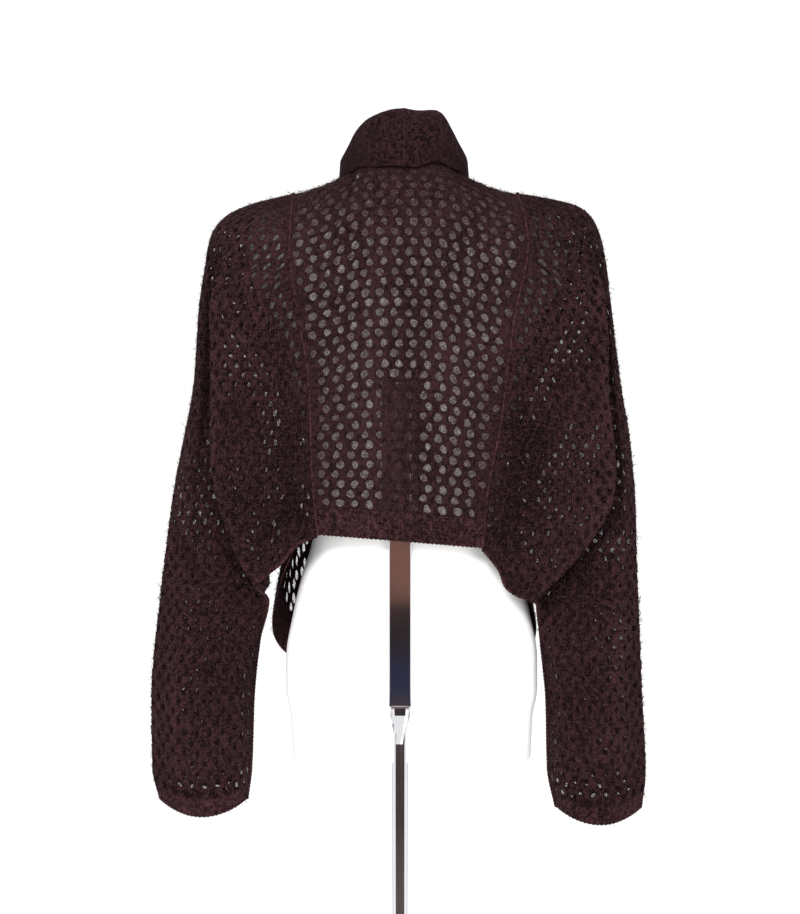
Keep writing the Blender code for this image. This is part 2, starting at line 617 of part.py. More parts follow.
def add_stand():
    back = FORM_ROWS[-5][3]
    plate = back + GAP * 2
    bar = plate + BRACKET_THICK + GAP
    box("bracket", (-BRACKET_WIDTH / 2, plate - FORM_FORWARD, BRACKET_BOTTOM),
        (BRACKET_WIDTH / 2, plate + BRACKET_THICK - FORM_FORWARD, BRACKET_TOP), BLACKENED, 0.0008)
    box("bar", (-BAR_WIDTH / 2, bar - FORM_FORWARD, BAR_BOTTOM),
        (BAR_WIDTH / 2, bar + BAR_THICK - FORM_FORWARD, BRACKET_TOP - 0.004), CHROME, 0.0012)
    foot = BASE_HEIGHT + 2 * GAP
    rings = []
    for height, flare in ((foot, 0.0), (0.40, 0.0), (0.70, 0.0), (0.765, 0.0), (0.778, 0.15), (0.790, 0.55),
                          (0.800, 0.88), (BAR_BOTTOM - GAP - 0.002, 1.0), (BAR_BOTTOM - GAP, 0.92)):
        radius = blend(ROD_RADIUS_FOOT, ROD_RADIUS_TOP, ease(height / 0.76))
        width = blend(radius, ROD_FLARE_WIDTH / 2, flare)
        depth = blend(radius, ROD_FLARE_THICK / 2, flare)
        rings.append(oval(height, width, depth, depth, blend(2.0, 4.0, flare), ROD_SIDES))
    lofted("rod", rings, CHROME)
    bore = ROD_RADIUS_FOOT + GAP * 2
    top = BASE_HEIGHT + GAP + SOCKET_HEIGHT
    outline = ((bore, BASE_HEIGHT + GAP), (SOCKET_RADIUS, BASE_HEIGHT + GAP), (SOCKET_RADIUS, top - 0.012),
               (SOCKET_RADIUS - 0.004, top - 0.003), (SOCKET_RADIUS - 0.008, top), (bore, top))
    rings = [oval(z, r, r, r, 2.0, 32) for r, z in outline]
    points = [p for ring in rings for p in ring]
    faces = []
    for r in range(len(rings)):
        low, high = r * 32, (r + 1) % len(rings) * 32
        faces += [[low + i, low + (i + 1) % 32, high + (i + 1) % 32, high + i] for i in range(32)]
    add_object("socket", points, faces, CHROME)
    turned("base", ((BASE_RADIUS - 0.002, 0.0), (BASE_RADIUS, 0.002), (BASE_RADIUS, BASE_HEIGHT - 0.005),
                    (BASE_RADIUS - 0.006, BASE_HEIGHT - 0.0012), (BASE_RADIUS - 0.018, BASE_HEIGHT)), STEEL, 48)


def main():
    clear_scene()
    forward = np.array([CLOTH_ASIDE, -FORM_FORWARD, 0.0])
    cloth = Sheet()
    add_back(cloth)
    for side, name in ((LEFT, "left"), (RIGHT, "right")):
        add_sleeve(cloth, side, name)
        add_front(cloth, side, name)
    cloth.build(WALL, WOOL, forward)
    for side, name in ((LEFT, "left"), (RIGHT, "right")):
        add_collar(side, name, forward)
    rings = [[(x + follow(FORM_ASIDE, z), y, z) for x, y, z in oval(*row, FORM_SIDES)] for row in FORM_ROWS[::-1]]
    lofted("form", rings, PLASTIC, (0.0, -FORM_FORWARD, 0.0))
    add_stand()


main()
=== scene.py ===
"""Knit, finishes, light and camera for an openwork mohair cardigan on a white display form.

Metres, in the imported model's frame: +Z up, the front faces -Y and the wearer's left is +X. Cloth is
laid out in the form's own frame, whose middle stands FORM_FORWARD in front of the upright.
"""

import logging
import math
from dataclasses import dataclass
from enum import Enum

import bpy
import numpy as np
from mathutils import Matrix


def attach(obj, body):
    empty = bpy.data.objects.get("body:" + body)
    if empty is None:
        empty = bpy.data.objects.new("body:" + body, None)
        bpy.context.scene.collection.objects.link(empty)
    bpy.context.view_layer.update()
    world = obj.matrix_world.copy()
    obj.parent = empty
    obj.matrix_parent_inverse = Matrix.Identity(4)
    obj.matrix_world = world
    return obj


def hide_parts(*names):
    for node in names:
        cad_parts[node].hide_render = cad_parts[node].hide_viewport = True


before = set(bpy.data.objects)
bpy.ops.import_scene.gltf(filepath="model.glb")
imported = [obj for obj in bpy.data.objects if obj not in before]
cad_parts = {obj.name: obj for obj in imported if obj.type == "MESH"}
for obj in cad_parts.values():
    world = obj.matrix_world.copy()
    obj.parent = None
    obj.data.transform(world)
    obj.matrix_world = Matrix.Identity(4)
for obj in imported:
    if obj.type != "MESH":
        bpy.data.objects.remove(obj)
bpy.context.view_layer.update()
LOG = logging.getLogger("cardigan")

FORM_FORWARD = 0.0696
CLOTH_ASIDE = -0.005
HEM_BAND = 0.037
CUFF_BAND = 0.022
CUFF_DIP = 0.020
SHOULDER_ROUND = 0.075
BODY_ROUNDNESS = 2.4
HIP_CLEARANCE = (0.168, 0.054)
NECK_BACK_HEIGHT = 1.490
NECK_BACK_DEPTH = 0.055

# A stitch of plain knit: its pitch across and down, and its leg's lowest height, what it gains and its lean
WALE = 0.0054
COURSE = 0.0042
LEG_LOW = 0.45
LEG_GAIN = 0.55
LEG_LEAN = 0.55

# Widths are measured outwards from the middle line, heights up from the floor, as (height, width)
OUTER_LEFT = ((1.4525, 0.139), (1.439, 0.192), (1.424, 0.224), (1.399, 0.2425), (1.3675, 0.249),
              (1.305, 0.259), (1.2175, 0.265), (1.13, 0.281), (1.03, 0.297), (0.9425, 0.308),
              (0.8175, 0.319), (0.73, 0.3175), (0.69, 0.308))
FOLD_LEFT = ((1.40, 0.236), (1.30, 0.239), (1.13, 0.239), (1.0925, 0.236), (1.031, 0.219),
             (0.984, 0.200), (0.964, 0.186))
SEAM_LEFT = ((1.4525, 0.139), (1.38, 0.1425), (1.289, 0.130), (1.205, 0.1175), (1.101, 0.114),
             (1.024, 0.107))
UNDER_LEFT = ((1.024, 0.107), (1.012, 0.134), (0.99, 0.152), (0.971, 0.177), (0.964, 0.186),
              (0.9425, 0.170), (0.8925, 0.182), (0.8175, 0.190), (0.73, 0.193), (0.69, 0.198))
OUTER_RIGHT = ((1.4530, 0.1425), (1.446, 0.183), (1.436, 0.220), (1.4175, 0.239), (1.38, 0.251),
               (1.33, 0.2575), (1.2175, 0.2725), (1.13, 0.286), (1.03, 0.292), (0.9425, 0.296),
               (0.8175, 0.301), (0.73, 0.305), (0.68, 0.300))
FOLD_RIGHT = ((1.40, 0.240), (1.3175, 0.249), (1.1925, 0.254), (1.0925, 0.2615), (1.071, 0.259),
              (1.011, 0.226), (0.9425, 0.1635))
SEAM_RIGHT = ((1.4530, 0.1425), (1.389, 0.154), (1.289, 0.136), (1.164, 0.120), (1.08, 0.104),
              (1.0075, 0.097))
UNDER_RIGHT = ((1.0075, 0.097), (0.98, 0.119), (0.961, 0.126), (0.9475, 0.145), (0.9425, 0.1635),
               (0.92, 0.168), (0.8675, 0.175), (0.8175, 0.180), (0.73, 0.182), (0.68, 0.192))

# Depths behind (+) and in front (-) of the form's middle, as (height, depth)
BACK_MIDDLE = ((1.50, 0.054), (1.45, 0.072), (1.40, 0.085), (1.35, 0.090), (1.20, 0.089), (1.00, 0.090))
BACK_SEAM = ((1.50, 0.060), (1.40, 0.072), (1.30, 0.079), (1.20, 0.081), (1.00, 0.084))
FLAP_EDGE = ((1.41, 0.020), (1.3675, 0.044), (1.305, 0.058), (1.20, 0.068), (1.05, 0.074), (0.94, 0.070))
VALLEY = ((1.41, 0.018), (1.3675, 0.030), (1.305, 0.036), (1.20, 0.040), (1.05, 0.042), (0.94, 0.040),
          (0.88, 0.038), (0.68, 0.034))
UNDER_BACK = ((0.065, 0.083), (0.03, 0.080), (0.0, 0.068), (-0.02, 0.040), (-0.06, 0.008), (-0.11, 0.0))
SLEEVE_FRONT = ((1.44, -0.070), (1.40, -0.068), (1.30, -0.066), (1.10, -0.054), (0.95, -0.046),
                (0.68, -0.040))
FRONT_SEAM = ((1.46, -0.080), (1.40, -0.083), (1.33, -0.086), (1.25, -0.076),
              (1.18, -0.052), (1.12, -0.018), (1.06, 0.035), (1.024, 0.072), (1.00, 0.074))
FRONT_SEAM_WIDTH = ((1.44, 0.0), (1.40, 0.003), (1.30, 0.020), (1.18, 0.034), (1.12, 0.034),
                    (1.06, 0.022), (1.024, 0.0), (1.00, 0.0))
BODY_WIDTH = ((1.46, 0.150), (1.35, 0.153), (1.20, 0.153), (1.03, 0.153), (0.95, 0.163), (0.88, 0.171),
              (0.82, 0.173))
BODY_DEPTH = ((1.46, 0.102), (1.40, 0.114), (1.33, 0.131), (1.25, 0.138), (1.10, 0.128), (0.84, 0.122))

# The line where the collar band is sewn on: (height, width, depth)
NECK_LINE = ((1.482, 0.064, 0.000), (1.469, 0.066, -0.032), (1.455, 0.068, -0.055), (1.42, 0.068, -0.084),
             (1.38, 0.066, -0.106), (1.33, 0.062, -0.124), (1.27, 0.061, -0.133), (1.20, 0.062, -0.133),
             (1.10, 0.064, -0.127), (0.98, 0.068, -0.122), (0.835, 0.072, -0.118))
SHOULDER = ((0.064, 1.482), (0.078, 1.4745), (0.100, 1.464), (0.130, 1.455), (0.145, 1.4515))
FRONT_HEM = ((0.0, 0.835), (0.25, 0.858), (0.5, 0.893), (0.625, 0.923), (0.75, 0.963), (0.875, 0.994),
             (1.0, 1.0))

# Share of the collar's length, height of its stand, width of its fall, facing in degrees, lean
COLLAR_STATIONS = ((0.00, 0.063, 0.063, 90.0, 0.04), (0.05, 0.057, 0.058, 70.0, 0.0),
                   (0.08, 0.044, 0.046, 50.0, -0.06), (0.11, 0.031, 0.034, 25.0, -0.10),
                   (0.15, 0.021, 0.024, -5.0, -0.05), (0.20, 0.024, 0.030, -28.0, 0.0),
                   (0.28, 0.036, 0.048, -52.0, 0.0), (0.40, 0.044, 0.050, -66.0, 0.0),
                   (0.55, 0.044, 0.022, -72.0, 0.0), (0.70, 0.044, 0.010, -72.0, 0.0),
                   (1.00, 0.044, 0.010, -72.0, 0.0))
COLLAR_ROLL = 0.007
COLLAR_LIFT = 0.0022

# The form, (height, half width, front depth, back depth, roundness of the section)
FORM_ROWS = ((1.530, 0.030, 0.034, 0.030, 2.0), (1.528, 0.044, 0.046, 0.042, 2.0),
             (1.520, 0.049, 0.051, 0.047, 2.0), (1.490, 0.052, 0.053, 0.047, 2.0),
             (1.474, 0.056, 0.054, 0.048, 2.0), (1.462, 0.080, 0.055, 0.050, 1.9),
             (1.453, 0.112, 0.057, 0.053, 1.8), (1.444, 0.142, 0.060, 0.056, 1.8),
             (1.434, 0.172, 0.067, 0.060, 1.8), (1.420, 0.193, 0.078, 0.064, 1.9),
             (1.395, 0.202, 0.094, 0.068, 2.0), (1.360, 0.200, 0.108, 0.071, 2.1),
             (1.325, 0.186, 0.120, 0.072, 2.2), (1.285, 0.160, 0.126, 0.069, 2.3),
             (1.240, 0.147, 0.125, 0.062, 2.4), (1.180, 0.134, 0.110, 0.062, 2.3),
             (1.120, 0.121, 0.100, 0.062, 2.3), (1.070, 0.117, 0.096, 0.062, 2.3),
             (1.020, 0.122, 0.100, 0.062, 2.3), (0.970, 0.138, 0.108, 0.062, 2.3),
             (0.920, 0.150, 0.112, 0.062, 2.3), (0.870, 0.158, 0.114, 0.062, 2.3),
             (0.830, 0.158, 0.110, 0.062, 2.3), (0.795, 0.152, 0.104, 0.061, 2.3),
             (0.760, 0.150, 0.098, 0.059, 2.3), (0.744, 0.149, 0.096, 0.058, 2.3),
             (0.740, 0.146, 0.093, 0.055, 2.3))
FORM_ASIDE = ((1.53, -0.009), (1.30, -0.009), (1.08, -0.011), (0.92, -0.0145), (0.74, -0.0150))

Pair = tuple[float, float]
Triple = tuple[float, float, float]
Table = tuple[tuple[float, ...], ...]


def follow(table: Table, at: float | np.ndarray, column: int = 1) -> np.ndarray:
    """Read a table smoothly, with no overshoot between its rows.

    Args:
        table: Rows whose first value is where they stand.
        at: One place or an array of places.
        column: Which value of the rows to read.

    Returns:
        The values at those places.
    """
    rows = np.array(table, float)
    if rows[0, 0] > rows[-1, 0]:
        rows = rows[::-1]
    x, y = rows[:, 0], rows[:, column]
    at = np.clip(np.asarray(at, float), x[0], x[-1])
    step = np.diff(x)
    rise = np.diff(y) / step
    slope = np.zeros(len(x))
    slope[0], slope[-1] = rise[0], rise[-1]
    w1, w2 = 2 * step[1:] + step[:-1], step[1:] + 2 * step[:-1]
    same = rise[:-1] * rise[1:] > 0
    low, high = np.where(same, rise[:-1], 1.0), np.where(same, rise[1:], 1.0)
    slope[1:-1] = np.where(same, (w1 + w2) / (w1 / low + w2 / high), 0.0)
    i = np.clip(np.searchsorted(x, at, side="right") - 1, 0, len(x) - 2)
    t = (at - x[i]) / step[i]
    h00, h10 = (1 + 2 * t) * (1 - t) ** 2, t * (1 - t) ** 2
    h01, h11 = t * t * (3 - 2 * t), t * t * (t - 1)
    return h00 * y[i] + h10 * step[i] * slope[i] + h01 * y[i + 1] + h11 * step[i] * slope[i + 1]


def measure(table: Table, at: float, column: int = 1) -> float:
    """One number of a table, read smoothly."""
    return float(follow(table, at, column))


def blend(a: float, b: float, t: float) -> float:
    """The value a share t of the way from a to b."""
    return a + (b - a) * t


def ease(t: float) -> float:
    """A smooth step from 0 to 1."""
    t = min(max(t, 0.0), 1.0)
    return t * t * (3 - 2 * t)


def rounding(drop: float) -> float:
    """How far the cloth has turned over the shoulder, 0 on its ridge and 1 where it hangs."""
    return math.sqrt(max(0.0, 1 - (1 - min(drop / SHOULDER_ROUND, 1)) ** 2))


def powered(value: float, power: float) -> float:
    """A power that keeps the sign of its value."""
    return math.copysign(abs(value) ** power, value)


def unit(ways: np.ndarray, least: float = 1e-9) -> np.ndarray:
    """Directions brought to length 1, but for those shorter than the least length."""
    return ways / np.maximum(np.linalg.norm(ways, axis=-1, keepdims=True), least)


def spline(knots: list, counts: tuple[int, ...]) -> np.ndarray:
    """Points along a centripetal Catmull-Rom curve.

    Args:
        knots: The points that it passes.
        counts: How many points each stretch gets.

    Returns:
        The points, one row each.
    """
    points = np.array(knots, float)
    padded = np.vstack([2 * points[0] - points[1], points, 2 * points[-1] - points[-2]])
    made = []
    for i, count in enumerate(counts):
        p = padded[i:i + 4]
        gaps = np.maximum(np.linalg.norm(np.diff(p, axis=0), axis=1), 1e-7) ** 0.5
        t = np.concatenate([[0], np.cumsum(gaps)])
        u = (t[1] + (t[2] - t[1]) * np.arange(count) / count)[:, None]
        a = [((t[j + 1] - u) * p[j] + (u - t[j]) * p[j + 1]) / (t[j + 1] - t[j]) for j in range(3)]
        b = [((t[j + 2] - u) * a[j] + (u - t[j]) * a[j + 1]) / (t[j + 2] - t[j]) for j in range(2)]
        made.append(((t[2] - u) * b[0] + (u - t[1]) * b[1]) / (t[2] - t[1]))
    return np.vstack([*made, points[-1:]])


def mesh_object(name: str, points: np.ndarray, faces: list[np.ndarray], material: bpy.types.Material,
                cloth: np.ndarray | None = None) -> bpy.types.Object:
    """Make a smooth mesh object from arrays.

    Args:
        name: The object's name.
        points: One row for each point.
        faces: Arrays of point numbers, each with its own count of corners.
        material: The finish.
        cloth: Where each point lies in the knit, across and along, in metres, then its painted shading.

    Returns:
        The new object, linked to the scene.
    """
    mesh = bpy.data.meshes.new(name)
    mesh.vertices.add(len(points))
    mesh.vertices.foreach_set("co", np.ascontiguousarray(points, np.float32).ravel())
    corners = np.concatenate([f.ravel() for f in faces]).astype(np.int32)
    sizes = np.concatenate([np.full(len(f), f.shape[1], np.int32) for f in faces])
    mesh.loops.add(len(corners))
    mesh.loops.foreach_set("vertex_index", corners)
    mesh.polygons.add(len(sizes))
    mesh.polygons.foreach_set("loop_start", np.concatenate([[0], np.cumsum(sizes)[:-1]]).astype(np.int32))
    if cloth is not None:
        layer = mesh.attributes.new("cloth", "FLOAT_VECTOR", "POINT")
        layer.data.foreach_set("vector", np.ascontiguousarray(cloth, np.float32).ravel())
    mesh.update(calc_edges=True)
    mesh.validate()
    mesh.shade_smooth()
    mesh.materials.append(material)
    made = bpy.data.objects.new(name, mesh)
    bpy.context.collection.objects.link(made)
    return made


class Field:
    """A socket of a finish, with Python's arithmetic on it."""

    def __init__(self, shader: "Shader", socket: bpy.types.NodeSocket) -> None:
        self.shader = shader
        self.socket = socket

    def _math(self, operation: str, *values: "Field | float") -> "Field":
        """One Math node on these values."""
        made = self.shader.node("ShaderNodeMath", {"operation": operation}, dict(enumerate(values)))
        return Field(self.shader, made.outputs[0])

    def __add__(self, other: "Field | float") -> "Field":
        """Sum."""
        return self._math("ADD", self, other)

    def __radd__(self, other: float) -> "Field":
        """Sum."""
        return self._math("ADD", other, self)

    def __sub__(self, other: "Field | float") -> "Field":
        """Difference."""
        return self._math("SUBTRACT", self, other)

    def __rsub__(self, other: float) -> "Field":
        """Difference from a number."""
        return self._math("SUBTRACT", other, self)

    def __mul__(self, other: "Field | float") -> "Field":
        """Product."""
        return self._math("MULTIPLY", self, other)

    def __rmul__(self, other: float) -> "Field":
        """Product."""
        return self._math("MULTIPLY", other, self)

    def __truediv__(self, other: "Field | float") -> "Field":
        """Quotient."""
        return self._math("DIVIDE", self, other)

    def sine(self) -> "Field":
        """Sine of an angle in radians."""
        return self._math("SINE", self)

    def fraction(self) -> "Field":
        """What is left above the whole number."""
        return self._math("FRACT", self)

    def size(self) -> "Field":
        """The value without its sign."""
        return self._math("ABSOLUTE", self)

    def clamped(self) -> "Field":
        """The value kept from 0 to 1."""
        made = self.shader.node("ShaderNodeClamp", {}, {"Value": self})
        return Field(self.shader, made.outputs[0])


class Shader:
    """A material's node tree around one Principled shader."""

    def __init__(self, name: str) -> None:
        self.material = bpy.data.materials.new(name)
        self.material.use_nodes = True
        self.tree = self.material.node_tree
        self.surface = self.tree.nodes["Principled BSDF"]

    def node(self, kind: str, settings: dict, sockets: dict) -> bpy.types.Node:
        """Add a node.

        Args:
            kind: The node's type.
            settings: Its settings, made before its sockets are filled.
            sockets: Values or links by the socket's name or number.

        Returns:
            The node.
        """
        made = self.tree.nodes.new(kind)
        for key, value in settings.items():
            setattr(made, key, value)
        for key, value in sockets.items():
            self.feed(made.inputs[key], value)
        return made

    def feed(self, socket: bpy.types.NodeSocket, value: object) -> None:
        """Link a field to a socket, or set the socket's own value."""
        if isinstance(value, Field):
            self.tree.links.new(value.socket, socket)
        elif isinstance(value, bpy.types.NodeSocket):
            self.tree.links.new(value, socket)
        else:
            socket.default_value = value

    def places(self) -> bpy.types.NodeSocket:
        """Coordinates in metres, the object's own."""
        return self.node("ShaderNodeTexCoord", {}, {}).outputs["Object"]

    def noise(self, scale: float, detail: float = 2.0, stretch: Triple | None = None) -> Field:
        """Noise from 0 to 1.

        Args:
            scale: Patches per metre.
            detail: Octaves.
            stretch: Scale of each axis, where the grain isn't even.

        Returns:
            The noise.
        """
        where = self.places()
        if stretch is not None:
            scaled = self.node("ShaderNodeVectorMath", {"operation": "MULTIPLY"}, {0: where, 1: stretch})
            where = scaled.outputs[0]
        made = self.node("ShaderNodeTexNoise", {}, {"Vector": where, "Scale": scale, "Detail": detail})
        return Field(self, made.outputs[0])

    def shade(self, share: Field, colour: Triple, dark: float, light: float) -> bpy.types.NodeSocket:
        """A colour made darker where the field is 0 and lighter where it is 1."""
        ends = {6: rgba(colour, dark), 7: rgba(colour, light)}
        made = self.node("ShaderNodeMix", {"data_type": "RGBA"}, {0: share, **ends})
        return made.outputs[2]

    def bump(self, height: Field, distance: float, strength: float) -> None:
        """Raise the surface by a height field."""
        made = self.node("ShaderNodeBump", {}, {"Strength": strength, "Distance": distance, "Height": height})
        self.feed(self.surface.inputs["Normal"], made.outputs[0])

    def set(self, **values: object) -> None:
        """Set or link sockets of the surface, named with underscores for spaces."""
        for key, value in values.items():
            self.feed(self.surface.inputs[key.replace("_", " ")], value)


def rgba(colour: Triple, factor: float = 1.0) -> tuple[float, float, float, float]:
    """A colour for a socket, made lighter or darker by a factor."""
    return (colour[0] * factor, colour[1] * factor, colour[2] * factor, 1.0)


@dataclass(frozen=True)
class Mohair:
    """Brushed mohair knit, its stitches laid by the mesh's own knit coordinates, with painted shade in their
    grooves and painted shading along the creases.
    """

    name: str = "brown_mohair"
    colour: Triple = (0.0170, 0.0069, 0.0082)
    wale: float = WALE
    course: float = COURSE
    relief: float = 0.0017

    WANDER = 0.35
    WANDER_SCALE = 60.0
    # Scale, detail and strength of its fibres, tufts and patches
    CLOUDS = ((900.0, 4.0, 3.2), (220.0, 3.0, 2.4), (9.0, 2.0, 0.8))
    DARKEST, LIGHTEST = 0.10, 3.0

    def build(self) -> bpy.types.Material:
        """Make the material."""
        shader = Shader(self.name)
        read = shader.node("ShaderNodeAttribute", {"attribute_name": "cloth"}, {}).outputs["Vector"]
        parts = shader.node("ShaderNodeSeparateXYZ", {}, {0: read})
        across, along = Field(shader, parts.outputs[0]), Field(shader, parts.outputs[1])
        wander = shader.noise(self.WANDER_SCALE, 2.0) * self.WANDER
        leg = ((across / self.wale + wander).fraction() - 0.5).size() * 2.0
        turn = (along / self.course + leg * LEG_LEAN + wander).fraction()
        stitch = (leg * math.pi).sine() * (LEG_LOW + LEG_GAIN * (turn * math.pi).sine())
        fibre, tuft, patch = (shader.noise(scale, detail) for scale, detail, _ in self.CLOUDS)
        # The cloth attribute's third value is painted shading: darker in crease troughs, lighter on ridges.
        fold = Field(shader, parts.outputs[2])
        cloud = sum((noise - 0.5) * row[2] for noise, row in zip((fibre, tuft, patch), self.CLOUDS))
        # Stitch legs lighter than their grooves is painted shade; the clouds are the yarn's random colour.
        shade = (stitch * 0.5 + cloud + 0.10 + fold).clamped()
        shader.set(Base_Color=shader.shade(shade, self.colour, self.DARKEST, self.LIGHTEST),
                   Roughness=0.95, Sheen_Weight=0.05, Sheen_Roughness=0.45,
                   Sheen_Tint=rgba((0.62, 0.30, 0.30)), Specular_IOR_Level=0.05)
        shader.bump(stitch + fibre * 0.8 + tuft * 0.8, self.relief, 1.0)
        return shader.material


@dataclass(frozen=True)
class Nap:
    """The long loose fibres of the mohair."""

    name: str = "mohair_nap"
    colour: Triple = (0.033, 0.0140, 0.0150)

    def build(self) -> bpy.types.Material:
        """Make the material."""
        shader = Shader(self.name)
        shade = shader.noise(160.0, 2.0)
        shader.set(Base_Color=shader.shade(shade, self.colour, 0.4, 1.7),
                   Roughness=0.85, Specular_IOR_Level=0.08)
        return shader.material


@dataclass(frozen=True)
class Haze:
    """The mist of fine fibres that spans the eyelets, see-through between its strands. Where it thickens it
    is painted shade in the eyelets.

    It thickens by NECK_PAINTED_SHADE from the height NECK upwards, and by the extra share from clear_above
    down to
    CUFF. NECK_RATE, LOW_RATE and CUFF_RATE are how fast, per metre.
    """

    name: str = "mohair_haze"
    colour: Triple = (0.040, 0.020, 0.020)
    extra: float = 0.0
    clear_above: float = 1.30

    # Scale, detail, stretch, reach, sharpness and cover of its two layers of strands
    LAYERS = ((420.0, 3.0, None, 1.25, 13.0, 0.65), (640.0, 2.0, (1.0, 1.0, 1.7), 1.15, 15.0, 0.5))
    NECK = 1.375
    NECK_PAINTED_SHADE = 0.5
    NECK_RATE = 9.0
    LOW_RATE = 9.0
    CUFF = 0.705
    CUFF_RATE = 40.0

    def build(self) -> bpy.types.Material:
        """Make the material."""
        shader = Shader(self.name)
        cover = 0.0
        for scale, detail, stretch, reach, sharpness, share in self.LAYERS:
            strand = (shader.noise(scale, detail, stretch) - 0.5).size()
            cover = cover + (reach - strand * sharpness).clamped() * share
        shade = shader.noise(300.0, 2.0)
        parts = shader.node("ShaderNodeSeparateXYZ", {}, {0: shader.places()})
        height = Field(shader, parts.outputs[2])
        # Painted shade: the haze thickens by the extra share below clear_above, with none at the cuff, and
        # above NECK.
        below = ((self.clear_above - height) * self.LOW_RATE).clamped()
        below = below * ((height - self.CUFF) * self.CUFF_RATE).clamped()
        neck = ((height - self.NECK) * self.NECK_RATE).clamped() * self.NECK_PAINTED_SHADE
        shader.set(Base_Color=shader.shade(shade, self.colour, 0.5, 1.5), Roughness=0.9,
                   Alpha=(cover + neck + below * self.extra).clamped(), Specular_IOR_Level=0.05)
        return shader.material


@dataclass(frozen=True)
class FormPlastic:
    """White moulded shell with a faint orange-peel gloss."""

    name: str = "white_form"
    colour: Triple = (0.90, 0.895, 0.885)

    def build(self) -> bpy.types.Material:
        """Make the material."""
        shader = Shader(self.name)
        peel = shader.noise(420.0, 2.0)
        cloud = shader.noise(14.0, 3.0)
        shader.set(Base_Color=shader.shade(cloud, self.colour, 0.97, 1.03),
                   Roughness=0.30 + cloud * 0.12, Specular_IOR_Level=0.5)
        shader.bump(peel, 0.00012, 0.35)
        return shader.material


class Grain(Enum):
    """How a metal was finished."""

    POLISHED = "polished"
    BRUSHED = "brushed"


# How a grain stretches along each axis, and how deep it is
GRAINS = {Grain.POLISHED: ((900.0, 900.0, 12.0), 0.05), Grain.BRUSHED: ((14.0, 900.0, 900.0), 0.22)}


@dataclass(frozen=True)
class Metal:
    """Plated or brushed metal with fine wear."""

    name: str
    colour: Triple
    roughness: float
    grain: Grain

    def build(self) -> bpy.types.Material:
        """Make the material."""
        shader = Shader(self.name)
        stretch, depth = GRAINS[self.grain]
        line = shader.noise(1.0, 3.0, stretch)
        smear = shader.noise(26.0, 3.0)
        shader.set(Base_Color=shader.shade(smear, self.colour, 0.93, 1.04),
                   Metallic=1.0, Roughness=self.roughness + smear * 0.03 + line * depth * 0.4)
        shader.bump(line, 0.00003, depth)
        return shader.material


@dataclass(frozen=True)
class Line:
    """A ridge or trough along one column of a piece, between two heights, with its own painted shading,
    lighter or darker.
    """

    column: int
    top: float
    bottom: float
    width: float
    lift: float
    tone: float


